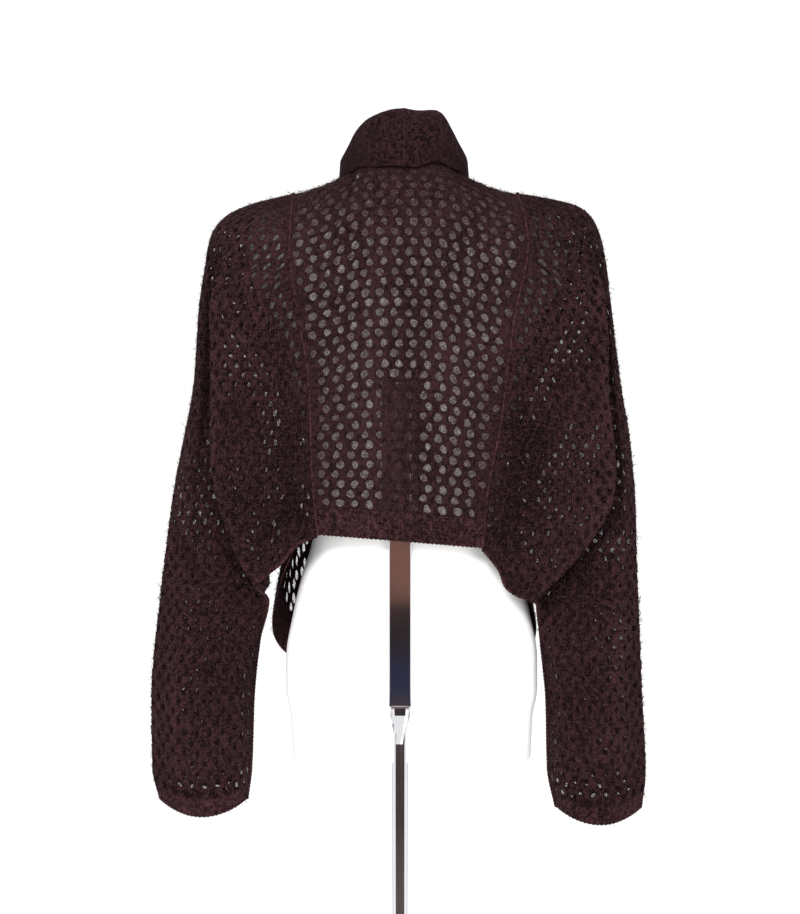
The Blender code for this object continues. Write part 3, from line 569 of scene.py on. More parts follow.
class Patch:
    """A piece's outer face, read by the distance across it and the distance down it.

    STEP is the grid's pitch, SPARE how far it goes past the edges, PAINTED_SHADING_GAIN how much lighter a
    metre of lift makes the cloth (painted shade in troughs, painted highlight on ridges), FADE how far a line
    fades in at its ends, and CREASE_END and CREASE_GAIN a crease's strength at its ends and what it gains
    between them.
    """

    STEP = 0.0025
    SPARE = 0.03
    PAINTED_SHADING_GAIN = 45.0
    FADE = 0.05
    CREASE_END = 0.35
    CREASE_GAIN = 0.65
    SAMPLES = 200

    def __init__(self, rows: list[np.ndarray], origin: int, flip: float, creases: Table = (),
                 lines: tuple[Line, ...] = ()) -> None:
        points = np.array(rows) + np.array([CLOTH_ASIDE, -FORM_FORWARD, 0.0])
        across = np.linalg.norm(np.diff(points, axis=1), axis=2)
        reach = np.concatenate([np.zeros((len(points), 1)), np.cumsum(across, axis=1)], axis=1)
        reach -= reach[:, origin:origin + 1]
        down = np.linalg.norm(np.diff(points, axis=0), axis=2)
        self.down = np.concatenate([[0], np.cumsum(down.mean(axis=1))])
        self.low, self.high = reach[:, 0], reach[:, -1]
        self.heights = points[:, origin, 2]
        self.first = self.low.min() - self.SPARE
        places = np.arange(self.first, self.high.max() + self.SPARE, self.STEP)
        grid = []
        for row, at in zip(points, reach):
            ends = unit(np.array([row[0] - row[1], row[-1] - row[-2]])) * self.SPARE
            wide = np.vstack([row[0] + ends[0], row, row[-1] + ends[1]])
            where = np.concatenate([[at[0] - self.SPARE], at, [at[-1] + self.SPARE]])
            grid.append(np.stack([np.interp(places, where, wide[:, k]) for k in range(3)], axis=1))
        self.grid = np.array(grid)
        ds, dt = np.gradient(self.grid, axis=1), np.gradient(self.grid, axis=0)
        self.normal = unit(np.cross(ds, dt) * flip, 1e-12)
        self.flip = flip
        self.creases = creases
        self.lines = lines
        self.reach = reach

    def limits(self, t: np.ndarray) -> tuple[np.ndarray, np.ndarray]:
        """The piece's two sides at these distances down it."""
        return np.interp(t, self.down, self.low), np.interp(t, self.down, self.high)

    def at_height(self, z: float) -> float:
        """The distance down the piece where its middle column is at a height."""
        return float(np.interp(-z, -self.heights, self.down))

    def folds_and_painted_shading(self, s: np.ndarray, t: np.ndarray) -> tuple[np.ndarray, np.ndarray]:
        """How far the creases lift these places, and their painted shade in troughs and highlight on ridges.
        """
        lift, tone = np.zeros_like(s), np.zeros_like(s)
        for across, start, across_end, end, width, depth in self.creases:
            a = np.array([across, self.at_height(start)])
            way = np.array([across_end, self.at_height(end)]) - a
            share = np.clip(((s - a[0]) * way[0] + (t - a[1]) * way[1]) / way.dot(way), 0, 1)
            apart = np.hypot(s - a[0] - share * way[0], t - a[1] - share * way[1])
            strength = self.CREASE_END + self.CREASE_GAIN * np.sin(np.pi * np.clip(share, 0.03, 0.97))
            raised = depth * strength * np.exp(-(apart / width) ** 2)
            lift += raised
            # Painted shading in step with the lift: darker in troughs, lighter on ridges.
            tone += raised * self.PAINTED_SHADING_GAIN
        for line in self.lines:
            top, bottom = self.at_height(line.top), self.at_height(line.bottom)
            apart = s - np.interp(t, self.down, self.reach[:, line.column])
            near = np.exp(-(apart / line.width) ** 2)
            near *= np.clip((t - top) / self.FADE, 0, 1) * np.clip((bottom - t) / self.FADE, 0, 1)
            lift += near * line.lift
            # Each line's own painted shading.
            tone += near * line.tone
        return lift, tone

    def place(self, s: np.ndarray, t: np.ndarray, lift: np.ndarray | float) -> np.ndarray:
        """Points on the piece.

        Args:
            s: Distances across.
            t: Distances down.
            lift: How far out of the face they stand.

        Returns:
            One row for each point.
        """
        row = np.clip(np.interp(t, self.down, np.arange(len(self.down))), 0, len(self.down) - 1.0001)
        column = np.clip((s - self.first) / self.STEP, 0, self.grid.shape[1] - 1.0001)
        r, c = row.astype(int), column.astype(int)
        fr, fc = (row - r)[:, None], (column - c)[:, None]

        def read(table: np.ndarray) -> np.ndarray:
            """Bilinear reading of a grid."""
            upper = table[r, c] * (1 - fc) + table[r, c + 1] * fc
            lower = table[r + 1, c] * (1 - fc) + table[r + 1, c + 1] * fc
            return upper * (1 - fr) + lower * fr

        return read(self.grid) + unit(read(self.normal)) * (lift + self.folds_and_painted_shading(s, t)[0])[:, None]

    def area(self, start: float, end: float) -> float:
        """The cloth between two distances down the piece, in square metres."""
        low, high = self.limits(np.linspace(start, end, self.SAMPLES))
        return float(np.mean(high - low) * (end - start))

    def width(self, start: float, end: float) -> float:
        """The widest row between two distances down the piece."""
        low, high = self.limits(np.linspace(start, end, self.SAMPLES))
        return float(np.max(high - low))


@dataclass(frozen=True)
class Side:
    """One half of the garment: its sign along X and its outlines.

    The flap's fold opens below FOLD_TOP over FOLD_REACH, and the sleeve bends round the hip below HIP_TOP
    over HIP_REACH. STEPS are the points on each stretch of a section, PLAIN_STOPS the quarter turn's shares
    where an unfolded back has its knots, FLAP_BOW how far the flap bows out, and FOLD_THICK its fold's width.
    """

    name: str
    sign: int
    outer: Table
    fold: Table
    seam: Table
    under: Table

    CAP_ROWS = 56
    BAND_ROWS = 8
    FLAP_ROWS = 14
    ARM_ROWS = 44
    CUFF_ROWS = 4
    STEPS = (12, 10, 10, 6, 10, 16, 12, 8, 8)
    PLAIN_STOPS = (0.33, 0.62, 0.74, 0.87)
    FLAP_BOW = 0.006
    FOLD_THICK = 0.009
    FOLD_TOP = 1.405
    FOLD_REACH = 0.08
    HIP_TOP = 1.13
    HIP_REACH = 0.09
    CLOSED_ABOVE = 1.40

    @property
    def top(self) -> float:
        """Height of the shoulder's end."""
        return self.seam[0][0]

    @property
    def hem(self) -> float:
        """Height of the hem at the sleeve seam."""
        return self.seam[-1][0]

    @property
    def corner(self) -> float:
        """Height of the lowest corner of the folded flap."""
        return self.fold[-1][0]

    @property
    def end(self) -> float:
        """Height of the cuff's end."""
        return self.outer[-1][0]

    def levels(self) -> list[float]:
        """Heights of the rows, from just under the shoulder's end to the cuff."""
        band = self.hem + HEM_BAND
        rows = [blend(self.top, band, max(i / self.CAP_ROWS, 0.004) ** 1.7) for i in range(self.CAP_ROWS)]
        rows += [blend(band, self.hem, i / self.BAND_ROWS) for i in range(self.BAND_ROWS)]
        rows += [blend(self.hem, self.corner, i / self.FLAP_ROWS) for i in range(self.FLAP_ROWS)]
        cuff = self.end + CUFF_BAND
        rows += [blend(self.corner, cuff, (i / self.ARM_ROWS) ** 1.25) for i in range(self.ARM_ROWS)]
        return rows + [blend(cuff, self.end, i / self.CUFF_ROWS) for i in range(self.CUFF_ROWS + 1)]

    def back_seam(self, z: float) -> Pair:
        """(width, depth) of the seam between back and sleeve."""
        return measure(self.seam, z), measure(BACK_SEAM, z) * rounding(self.top - z)

    def front_seam(self, z: float, turned: bool = True) -> Pair:
        """(width, depth) of the seam between front and sleeve."""
        height = blend(SEAM_LEFT[0][0], SEAM_LEFT[-1][0], (self.top - z) / (self.top - self.hem))
        width = self.back_seam(z)[0] + measure(FRONT_SEAM_WIDTH, height)
        return width, measure(FRONT_SEAM, height) * (rounding(self.top - z) if turned else 1.0)

    def under_seam(self, z: float) -> Pair:
        """(width, depth) of the seam under the arm, below the hem."""
        return measure(self.under, z), measure(UNDER_BACK, z - self.corner)

    def section(self, z: float) -> np.ndarray:
        """Points (x, depth) round the sleeve at one height, from the back seam over its edge to the front."""
        outer = measure(self.outer, z)
        folded = ease((self.FOLD_TOP - z) / self.FOLD_REACH)
        front = measure(SLEEVE_FRONT, z) * rounding(self.top - z)
        valley = measure(VALLEY, z)
        if z >= self.hem:
            start, end = self.back_seam(z), self.front_seam(z)
        else:
            start = end = self.under_seam(z)
        if z > self.corner - 1e-6:
            edge = measure(self.fold, z)
            plain = [(blend(start[0], outer, math.sin(math.pi / 2 * t)),
                      start[1] * math.cos(math.pi / 2 * t) ** 0.9) for t in self.PLAIN_STOPS]
            flap = (edge, measure(FLAP_EDGE, z))
            flat = [(blend(start[0], edge, 0.5), blend(start[1], flap[1], 0.5) + self.FLAP_BOW), flap,
                    (edge - self.FOLD_THICK, valley), (blend(edge, outer, 0.5), valley + 0.001)]
            if z < self.hem:
                close = ease((z - self.corner) / (self.hem - self.corner))
                flat[0] = (flat[0][0], blend(start[1], flap[1], 0.5) + self.FLAP_BOW * close)
            back = [tuple(np.array(a) * (1 - folded) + np.array(b) * folded) for a, b in zip(plain, flat)]
            if z < self.corner + 1e-6:
                back[0] = back[1] = start
        else:
            width = outer - start[0]
            back = [start, start, (start[0] + 0.10 * width, valley * 0.86),
                    (start[0] + 0.60 * width, valley + 0.004)]
        low = ease((self.hem - z + 0.05) / 0.14)
        inner = (blend(end[0] + 0.030, measure(self.under, min(z, self.hem)) + 0.012, low),
                 blend(end[1] * 0.5 + front * 0.55, front * 0.45, low))
        if self.corner - 1e-6 < z < self.hem + 0.03:
            inner = (max(inner[0], HIP_CLEARANCE[0] + 0.006), inner[1])
        if z > self.CLOSED_ABOVE:
            inner = (blend(end[0], outer, 0.4), end[1] * 0.92)
        middle = (blend(inner[0], outer, 0.48), front)
        wrapped = ease((self.HIP_TOP - z) / self.HIP_REACH) * ease((z - self.corner + 0.025) / 0.025)
        beside = (blend(blend(inner[0], end[0], 0.5), HIP_CLEARANCE[0], wrapped),
                  blend(blend(inner[1], end[1], 0.5), HIP_CLEARANCE[1], wrapped))
        made = spline([start, *back, (outer, 0.0), middle, inner, beside, end], self.STEPS)
        return made * np.array([self.sign, 1.0])


LEFT = Side("left", 1, OUTER_LEFT, FOLD_LEFT, SEAM_LEFT, UNDER_LEFT)
RIGHT = Side("right", -1, OUTER_RIGHT, FOLD_RIGHT, SEAM_RIGHT, UNDER_RIGHT)

# Each crease: (across, height) where it starts, the same where it ends, its width, its lift, which also
# paints it darker in a trough and lighter on a ridge
CREASES = {
    "sleeve_left": ((-0.050, 1.37, -0.056, 1.00, 0.006, -0.0060),
                    (-0.076, 1.37, -0.088, 1.02, 0.008, 0.0030),
                    (0.035, 1.02, 0.045, 0.72, 0.012, 0.0042),
                    (-0.045, 0.93, -0.050, 0.74, 0.010, 0.0034),
                    (-0.010, 1.36, -0.004, 1.12, 0.009, -0.0028),
                    (-0.030, 1.02, -0.080, 0.96, 0.010, -0.0042),
                    (0.060, 1.30, 0.090, 1.08, 0.016, 0.0050),
                    (0.110, 1.10, 0.080, 0.90, 0.014, -0.0048)),
    "sleeve_right": ((-0.048, 1.36, -0.052, 1.02, 0.006, -0.0055),
                     (-0.074, 1.36, -0.084, 1.04, 0.008, 0.0030),
                     (-0.040, 1.00, -0.052, 0.72, 0.012, 0.0045),
                     (-0.018, 1.33, -0.012, 1.10, 0.009, -0.0031),
                     (0.030, 1.04, 0.040, 0.70, 0.013, 0.0036),
                     (-0.060, 1.00, -0.100, 0.95, 0.011, -0.0039),
                     (0.070, 1.28, 0.085, 1.05, 0.018, 0.0048),
                     (0.120, 1.06, 0.090, 0.92, 0.014, -0.0042)),
    "back": ((0.030, 1.40, 0.042, 1.10, 0.020, 0.0042),
             (-0.045, 1.38, -0.060, 1.12, 0.018, 0.0036),
             (-0.010, 1.32, -0.014, 1.08, 0.016, -0.0031),
             (0.090, 1.44, 0.050, 1.37, 0.012, -0.0034),
             (-0.095, 1.44, -0.050, 1.36, 0.013, -0.0036)),
    "front_left": ((-0.040, 1.38, -0.050, 1.00, 0.016, 0.0042),
                   (-0.085, 1.30, -0.090, 1.06, 0.014, -0.0036),
                   (-0.120, 1.20, -0.100, 1.00, 0.012, 0.0034)),
    "front_right": ((-0.045, 1.36, -0.042, 0.98, 0.017, 0.0039),
                    (-0.090, 1.32, -0.080, 1.04, 0.013, -0.0039),
                    (-0.125, 1.22, -0.110, 1.02, 0.012, 0.0031)),
}


class Garment:
    """The faces of all cloth pieces, worked out from the garment's sizes."""

    NECK_COLUMNS = 20
    SHOULDER_COLUMNS = 36
    COLLAR_ROWS = 200
    COLLAR_STEPS = (9, 9, 7, 7, 9, 9)
    COLLAR_ROUND_NECK = 0.115
    COLLAR_WAVE = 0.0011
    COLLAR_HUMPS = {"left": -0.0025, "right": 0.0045}
    COLLAR_HUMP_AT = 0.055
    COLLAR_HUMP_REACH = 0.02
    COLLAR_FALL_MORE = 0.007
    COLLAR_FALL_REACH = 0.085

    def shoulder_top(self, width: float) -> Pair:
        """(depth, height) of the back's upper edge: the neck's curve, then the shoulder line."""
        neck = SHOULDER[0][0]
        if width >= neck:
            return 0.0, measure(SHOULDER, width)
        return (NECK_BACK_DEPTH * math.sqrt(1 - (width / neck) ** 2),
                blend(NECK_BACK_HEIGHT, SHOULDER[0][1], (width / neck) ** 3))

    def hang(self, top: float, bottom: float, side: Side, level: float) -> float:
        """Height on a column from top to bottom, for a row at this level of the seam."""
        if level <= side.hem + HEM_BAND + 1e-9:
            return bottom + (level - side.hem)
        share = (side.top - level) / (side.top - side.hem - HEM_BAND)
        return blend(top, bottom + HEM_BAND, share)

    def shoulder_point(self, side: Side, share: float) -> Pair:
        """(width, height) on the shoulder line, from the side of the neck to the sleeve seam."""
        width = blend(SHOULDER[0][0], side.back_seam(side.top)[0], share)
        return width, blend(measure(SHOULDER, width), side.top, share ** 6)

    def back_column(self, side: Side, c: int) -> tuple[float, float, float]:
        """(share of the width, depth, height) where a column of the back meets its upper edge."""
        whole = side.back_seam(side.top)[0]
        if c < self.NECK_COLUMNS:
            width = SHOULDER[0][0] * c / self.NECK_COLUMNS
            return (width / whole, *self.shoulder_top(width))
        width, height = self.shoulder_point(side, (c - self.NECK_COLUMNS) / self.SHOULDER_COLUMNS)
        return width / whole, 0.0, height

    def back(self) -> Patch:
        """The back, its rows from the wearer's right seam to the left."""
        count = Side.CAP_ROWS + Side.BAND_ROWS + 1
        last = self.NECK_COLUMNS + self.SHOULDER_COLUMNS
        rows = []
        for right, left in list(zip(RIGHT.levels(), LEFT.levels()))[:count]:
            row = []
            for c in range(-last, last + 1):
                side, level = (LEFT, left) if c > 0 else (RIGHT, right)
                seam = side.back_seam(level)
                share, depth_top, height_top = self.back_column(side, abs(c))
                hem = blend(blend(RIGHT.hem, LEFT.hem, 0.5), side.hem, share)
                z = self.hang(height_top, hem, side, level)
                over = share ** 2
                full = blend(measure(BACK_MIDDLE, z), measure(BACK_SEAM, z), over)
                edge = blend(measure(BACK_MIDDLE, height_top), measure(BACK_SEAM, height_top), over)
                depth = full - (edge - depth_top) * (1 - rounding(height_top - z))
                row.append((side.sign * share * seam[0], depth, z))
            rows.append(np.array(row))
        return Patch(rows, last, 1.0, CREASES["back"])

    def sleeve(self, side: Side) -> Patch:
        """A sleeve, its rows measured from the outer edge."""
        rows = []
        for z in side.levels():
            row = side.section(z)
            low = ease((side.corner - z) / (side.corner - side.end)) if z < side.corner else 0.0
            inner, outer = measure(side.under, z), measure(side.outer, z)
            across = (np.abs(row[:, 0]) - inner) / max(outer - inner, 1e-6)
            dip = CUFF_DIP * low * (1 - (2 * across - 1) ** 2)
            rows.append(np.column_stack([row, z - dip]))
        edge, valley = sum(Side.STEPS[:2]), sum(Side.STEPS[:3])
        # Painted highlight along the flap's folded edge, painted shade in the valley beside it and near the
        # back seam.
        lines = (Line(edge, 1.38, side.corner - 0.01, 0.009, 0.0018, 0.20),
                 Line(valley, 1.39, side.corner - 0.02, 0.017, -0.0030, -0.42),
                 Line(6, 1.20, side.hem - 0.02, 0.030, -0.0010, -0.28))
        return Patch(rows, sum(Side.STEPS[:5]), side.sign, CREASES["sleeve_" + side.name], lines)

    def oval_place(self, across: float, along: float) -> Pair:
        """(angle, reach) of a point on the front's rounded oval."""
        half = BODY_ROUNDNESS / 2
        reach = (abs(across) ** BODY_ROUNDNESS + abs(along) ** BODY_ROUNDNESS) ** (1 / BODY_ROUNDNESS)
        return math.atan2(powered(along, half), powered(across, half)), reach

    def front(self, side: Side) -> Patch:
        """A front, its rows from the sleeve seam to the line where the band is sewn."""
        rows = []
        for level in side.levels()[:Side.CAP_ROWS + Side.BAND_ROWS + 1]:
            full_seam = side.front_seam(level, turned=False)
            row = []
            for c in range(self.SHOULDER_COLUMNS, -1, -1):
                share = c / self.SHOULDER_COLUMNS
                top_width, top = self.shoulder_point(side, share)
                bottom = measure(FRONT_HEM, share) + (side.hem - FRONT_HEM[-1][1]) * share ** 2
                z = self.hang(top, bottom, side, level)
                edge = (measure(NECK_LINE, z, 1), measure(NECK_LINE, z, 2))
                if c == 0:
                    row.append((side.sign * edge[0], edge[1], z))
                    continue
                drop = rounding(top - z)
                edge = (edge[0], edge[1] / max(rounding(NECK_LINE[0][0] - z), 0.3))
                body = (measure(BODY_WIDTH, z), measure(BODY_DEPTH, z))
                ends = [self.oval_place(p[0] / body[0], -p[1] / body[1]) for p in (edge, full_seam)]
                turn = blend(ends[0][0], ends[1][0], share)
                reach = blend(ends[0][1], ends[1][1], share ** blend(1.5, 4.0, ease((1.15 - z) / 0.12)))
                width = body[0] * reach * powered(math.cos(turn), 2 / BODY_ROUNDNESS)
                depth = -body[1] * reach * powered(math.sin(turn), 2 / BODY_ROUNDNESS)
                row.append((side.sign * blend(top_width, width, drop), depth * drop, z))
            rows.append(np.array(row))
        return Patch(rows, self.SHOULDER_COLUMNS, side.sign, CREASES["front_" + side.name])

    def collar_path(self, share: float) -> np.ndarray:
        """A point on the collar's seam, from the middle of the back to the front hem."""
        neck = SHOULDER[0][0]
        round_neck = self.COLLAR_ROUND_NECK
        at = share * (round_neck + NECK_LINE[0][0] - NECK_LINE[-1][0])
        if at < round_neck:
            width = neck * math.sin(math.pi / 2 * at / round_neck)
            return np.array([width, *self.shoulder_top(min(width, neck - 1e-6))])
        z = NECK_LINE[0][0] - (at - round_neck)
        return np.array([follow(NECK_LINE, z, 1), follow(NECK_LINE, z, 2), z])

    def collar(self, side: Side) -> Patch:
        """Half of the doubled collar: up the stand, over the roll and down the fall."""
        rows = []
        for i in range(self.COLLAR_ROWS + 1):
            share = (i / self.COLLAR_ROWS) ** 1.2
            stand, fall, facing, lean = (measure(COLLAR_STATIONS, share, k) for k in (1, 2, 3, 4))
            wave = math.sin(share * 31.0 + side.sign) + 0.6 * math.sin(share * 74.0 + 2.0 * side.sign)
            hump = math.exp(-((share - self.COLLAR_HUMP_AT) / self.COLLAR_HUMP_REACH) ** 2)
            stand += self.COLLAR_WAVE * wave * ease(share / 0.02)
            stand += self.COLLAR_HUMPS[side.name] * hump
            fall += self.COLLAR_FALL_MORE * (1 - ease(share / self.COLLAR_FALL_REACH))
            start = self.collar_path(share)
            along = self.collar_path(min(share + 0.01, 1)) - self.collar_path(max(share - 0.01, 0))
            if i == 0:
                along = np.array([1.0, 0.0, 0.0])
            along = unit(along)
            out = np.array([math.cos(math.radians(facing)), math.sin(math.radians(facing)), 0.0])
            out = unit(out - along * np.dot(out, along))
            up = np.cross(along, out)
            roll, lean = COLLAR_ROLL, lean * stand
            far = lean + 2 * roll
            knots = [(COLLAR_LIFT, 0.0), (stand * 0.5, lean * 0.5 - 0.002), (stand - roll, lean),
                     (stand, lean + roll), (stand - roll, far)]
            if fall > 0.012:
                tucked = 0.002 + 0.004 * ease(share / 0.05)
                knots += [(stand - fall * 0.55, far + 0.001), (stand - fall, far - lean * 0.5 - tucked)]
            else:
                knots += [(stand - fall * 0.9, far), (stand - fall * 1.3, far)]
            row = np.array([start + up * w + out * n for w, n in spline(knots, self.COLLAR_STEPS)])
            rows.append(row * np.array([side.sign, 1.0, 1.0]))
        return Patch(rows, 0, side.sign)


@dataclass
class Cells:
    """Cells of a net: their points as (across, down, lift), quads, and the edges of both faces' rims."""

    places: np.ndarray
    quads: np.ndarray
    rims: np.ndarray
    deep_rims: np.ndarray


@dataclass
class Net:
    """Openwork: columns of eyelets, every other row set aside, with plain strips along the seams.

    LIPS are an eyelet's rounded edge: growth, lift, and its share of the room across and down the cell. DRIFT
    is how far an eyelet strays across and down, SIZE_DRIFT and SIZE_LIMITS how much its size varies, CORNERS,
    OVAL and BULGE how far its outline is from round, and GROWN_ROWS how many rows grow towards the end.
    The far half of a tube is set aside over RAMP, less near its end, by END_SHARE and END_GAIN over
    END_REACH.
    """

    patch: Patch
    start: float
    end: float
    seed: int
    column: float = 0.0182
    row: float = 0.0122
    hole: Pair = (0.0045, 0.0050)
    aside: float = 0.15
    strip: float = 0.0022
    top_strip: float = 0.008
    wall: float = 0.0022
    rib: float = 0.0006
    grown: float = 0.0
    staggered: float = 0.0

    PERIMETER = np.array([(0, 0), (1, 0), (2, 0), (3, 0), (3, 1), (3, 2),
                          (3, 3), (2, 3), (1, 3), (0, 3), (0, 2), (0, 1)])
    LIPS = ((1.42, 0.0006, 0.97, 0.94), (1.0, -0.00055, 0.86, 0.84))
    MARGIN = 0.0004
    WELD = 2e5
    DRIFT = (0.0006, 0.0003)
    SIZE_DRIFT = 0.10
    SIZE_LIMITS = (0.74, 1.2)
    CORNERS = 0.07
    OVAL = 0.10
    BULGE = 0.10
    GROWN_ROWS = 2.2
    RAMP = 0.06
    END_SHARE = 0.45
    END_GAIN = 0.55
    END_REACH = 0.05

    # Height of each slow wave of the face, and its turns across and down
    UNEVEN = ((0.00022, 710.0, 290.0), (0.00018, -170.0, 930.0))

    def relief(self, s: np.ndarray, t: np.ndarray) -> np.ndarray:
        """The ribs between the columns of eyelets, a little uneven."""
        uneven = sum(rise * np.sin(s * across + t * down) for rise, across, down in self.UNEVEN)
        return self.rib * np.cos(2 * np.pi * s / self.column) + uneven

    def settle(self, s: np.ndarray, t: np.ndarray) -> np.ndarray:
        """Set the far half of a tube aside, so that few eyelets line up with those in front of them."""
        high = self.patch.limits(t)[1]
        ramp = np.clip(s / self.RAMP + 0.5, 0, 1)
        room = np.clip((high - s) / self.RAMP, 0, 1)
        whole = self.END_SHARE + self.END_GAIN * np.clip((self.end - t) / self.END_REACH, 0, 1)
        return s + self.staggered * self.column * ramp * ramp * (3 - 2 * ramp) * room * whole

    def lay(self, places: np.ndarray) -> np.ndarray:
        """Points of places given as (across, down, lift)."""
        s, t, lift = places.reshape(-1, 3).T
        return self.patch.place(self.settle(s, t), t, lift)

    def corners(self, cells: np.ndarray, a: np.ndarray, b: np.ndarray) -> tuple[np.ndarray, np.ndarray]:
        """(across, down) of places in cells, given in thirds of a cell, kept inside the piece."""
        s0, s1, t0, t1 = cells.T[:, :, None]
        t = t0 + (t1 - t0) * b / 3
        return np.clip(s0 + (s1 - s0) * a / 3, *self.patch.limits(t)), t

    def cells(self, rng: np.random.Generator) -> tuple[np.ndarray, np.ndarray, np.ndarray]:
        """Divide the piece.

        Args:
            rng: The net's random numbers.

        Returns:
            Each cell as (across from, to, down from, to), its eyelet's middle, and whether it has an eyelet.
        """
        rows = max(1, round((self.end - self.start) / self.row))
        edges = np.linspace(self.start, self.end, rows + 1)
        low, high = self.patch.limits(edges)
        k0, k1 = math.floor(low.min() / self.column), math.ceil(high.max() / self.column)
        j, k = [a.ravel() for a in np.meshgrid(np.arange(rows), np.arange(k0, k1), indexing="ij")]
        kept = (k + 1) * self.column > np.minimum(low[j], low[j + 1])
        kept &= k * self.column < np.maximum(high[j], high[j + 1])
        j, k = j[kept], k[kept]
        s0, s1 = k * self.column, (k + 1) * self.column
        shift = self.column * self.aside * np.where(j % 2, 1, -1) + rng.normal(0, self.DRIFT[0], len(j))
        if self.staggered:
            shift *= np.where(s0 + s1 > 0, -1, 1)
        middle = (s0 + s1) / 2 + shift
        margin = self.strip + self.hole[0]
        holed = middle >= np.maximum(low[j], low[j + 1]) + margin
        holed &= middle <= np.minimum(high[j], high[j + 1]) - margin
        holed &= edges[j] >= self.start + self.top_strip
        return np.stack([s0, s1, edges[j], edges[j + 1]], axis=1), middle, holed

    def eyelets(self, cells: np.ndarray, middle: np.ndarray, rng: np.random.Generator
                ) -> tuple[Cells, np.ndarray]:
        """Cells with an eyelet.

        Args:
            cells: The cells' limits.
            middle: Where their eyelets stand, across.
            rng: The net's random numbers.

        Returns:
            The cells, and the rims that the haze spans.
        """
        count, n = len(self.PERIMETER), len(cells)
        a, b = self.PERIMETER.T
        s, t = self.corners(cells, a, b)
        turn = np.arctan2(b - 1.5, a - 1.5)
        centre = (cells[:, 2] + cells[:, 3]) / 2 + rng.normal(0, self.DRIFT[1], n)
        near_end = np.clip(1 - (self.end - cells[:, 3]) / (self.GROWN_ROWS * self.row), 0, 1)
        size = (1 + rng.normal(0, self.SIZE_DRIFT, n)).clip(*self.SIZE_LIMITS) * (1 + self.grown * near_end)
        phase = rng.uniform(0, 2 * np.pi, (3, n, 1))
        half = (cells[:, 3:] - cells[:, 2:3]) / 2
        lean = 1 + self.CORNERS * np.cos(4 * turn) + self.OVAL * np.cos(2 * turn + phase[0])
        lean = lean + self.BULGE * np.cos(3 * turn + phase[1])
        rings = [(s, t, self.relief(s, t))]
        for grow, lift, room_across, room_down in self.LIPS:
            room = self.column * (0.5 - self.aside) * room_across
            wide = np.clip((self.hole[0] * size)[:, None] * grow * np.cos(turn) * lean, -room, room)
            tall = (self.hole[1] * size)[:, None] * grow * np.sin(turn) * lean
            down = centre[:, None] + np.clip(tall, -half * room_down, half * room_down)
            low, high = self.patch.limits(down)
            across = np.clip(middle[:, None] + wide, low + self.MARGIN, high - self.MARGIN)
            rings.append((across, down, np.full_like(s, lift)))
        rings.append((s, t, np.full_like(s, -self.wall)))
        places = np.stack([np.stack(ring, axis=2) for ring in rings], axis=1)
        base = np.arange(n)[:, None] * (len(rings) * count)
        here, after = base + np.arange(count), base + np.roll(np.arange(count), -1)
        quads = np.stack([here, after, after + count, here + count], axis=2).reshape(-1, 4)
        quads = np.concatenate([quads + r * count for r in range(len(rings) - 1)])
        rims = np.stack([here, after], axis=2).reshape(-1, 2)
        return Cells(places.reshape(-1, 3), quads, rims, rims + (len(rings) - 1) * count), places[:, -2]

    def plains(self, cells: np.ndarray) -> Cells:
        """Cells without an eyelet, of nine quads on each face."""
        b, a = [v.ravel() for v in np.meshgrid(np.arange(4), np.arange(4), indexing="ij")]
        s, t = self.corners(cells, a, b)
        faces = [np.stack([s, t, lift], axis=2) for lift in (self.relief(s, t), np.full_like(s, -self.wall))]
        base = np.arange(len(cells))[:, None] * 2 * len(a)
        first = np.array([r * 4 + c for r in range(3) for c in range(3)])
        quads = base[:, :, None] + (first[:, None] + np.array([0, 1, 5, 4]))[None]
        ring = self.PERIMETER[:, 1] * 4 + self.PERIMETER[:, 0]
        rims = np.stack([base + ring, base + np.roll(ring, -1)], axis=2).reshape(-1, 2)
        both = np.concatenate([quads.reshape(-1, 4), (quads[:, :, ::-1] + len(a)).reshape(-1, 4)])
        return Cells(np.concatenate(faces, axis=1).reshape(-1, 3), both, rims, rims + len(a))

    def weld(self, groups: list[Cells]) -> tuple[np.ndarray, np.ndarray]:
        """Join the points that cells share, and close the free edges with a wall.

        Args:
            groups: The cells.

        Returns:
            The places, each (across, down, lift), and the triangles.
        """
        starts = np.cumsum([0] + [len(group.places) for group in groups])
        laid = np.concatenate([group.places for group in groups])
        keys = np.round(laid * self.WELD).astype(np.int64)
        _, first, merged = np.unique(keys, axis=0, return_index=True, return_inverse=True)
        parts = zip(*((g.quads + n, g.rims + n, g.deep_rims + n) for g, n in zip(groups, starts)))
        quads, rim, inner = (merged.ravel()[np.concatenate(part)] for part in parts)
        ordered = np.sort(rim, axis=1)
        _, where, uses = np.unique(ordered[:, 0] * len(first) + ordered[:, 1], return_inverse=True,
                                   return_counts=True)
        free = (uses[where.ravel()] == 1) & (rim[:, 0] != rim[:, 1])
        wall = np.stack([rim[free, 1], rim[free, 0], inner[free, 0], inner[free, 1]], axis=1)
        quads = np.concatenate([quads, wall])
        triangles = np.concatenate([quads[:, [0, 1, 2]], quads[:, [0, 2, 3]]])
        return laid[first], triangles[(triangles != np.roll(triangles, 1, axis=1)).all(axis=1)]

    def build(self) -> tuple[np.ndarray, np.ndarray, np.ndarray, np.ndarray, np.ndarray]:
        """Lay out the net.

        Returns:
            Points, triangles, each point's place in the knit with its painted shading, and the points and
            faces of the eyelets' haze.
        """
        rng = np.random.default_rng(self.seed)
        cells, middle, holed = self.cells(rng)
        eyelets, haze = self.eyelets(cells[holed], middle[holed], rng)
        laid, triangles = self.weld([eyelets, self.plains(cells[~holed])])
        spans = np.arange(haze.shape[0] * haze.shape[1]).reshape(haze.shape[:2])
        if self.patch.flip < 0:
            triangles, spans = triangles[:, ::-1], spans[:, ::-1]
        # Painted shading of the creases, carried to the material in the cloth attribute.
        tone = self.patch.folds_and_painted_shading(laid[:, 0], laid[:, 1])[1]
        return self.lay(laid), triangles, np.column_stack([laid[:, :2], tone]), self.lay(haze), spans


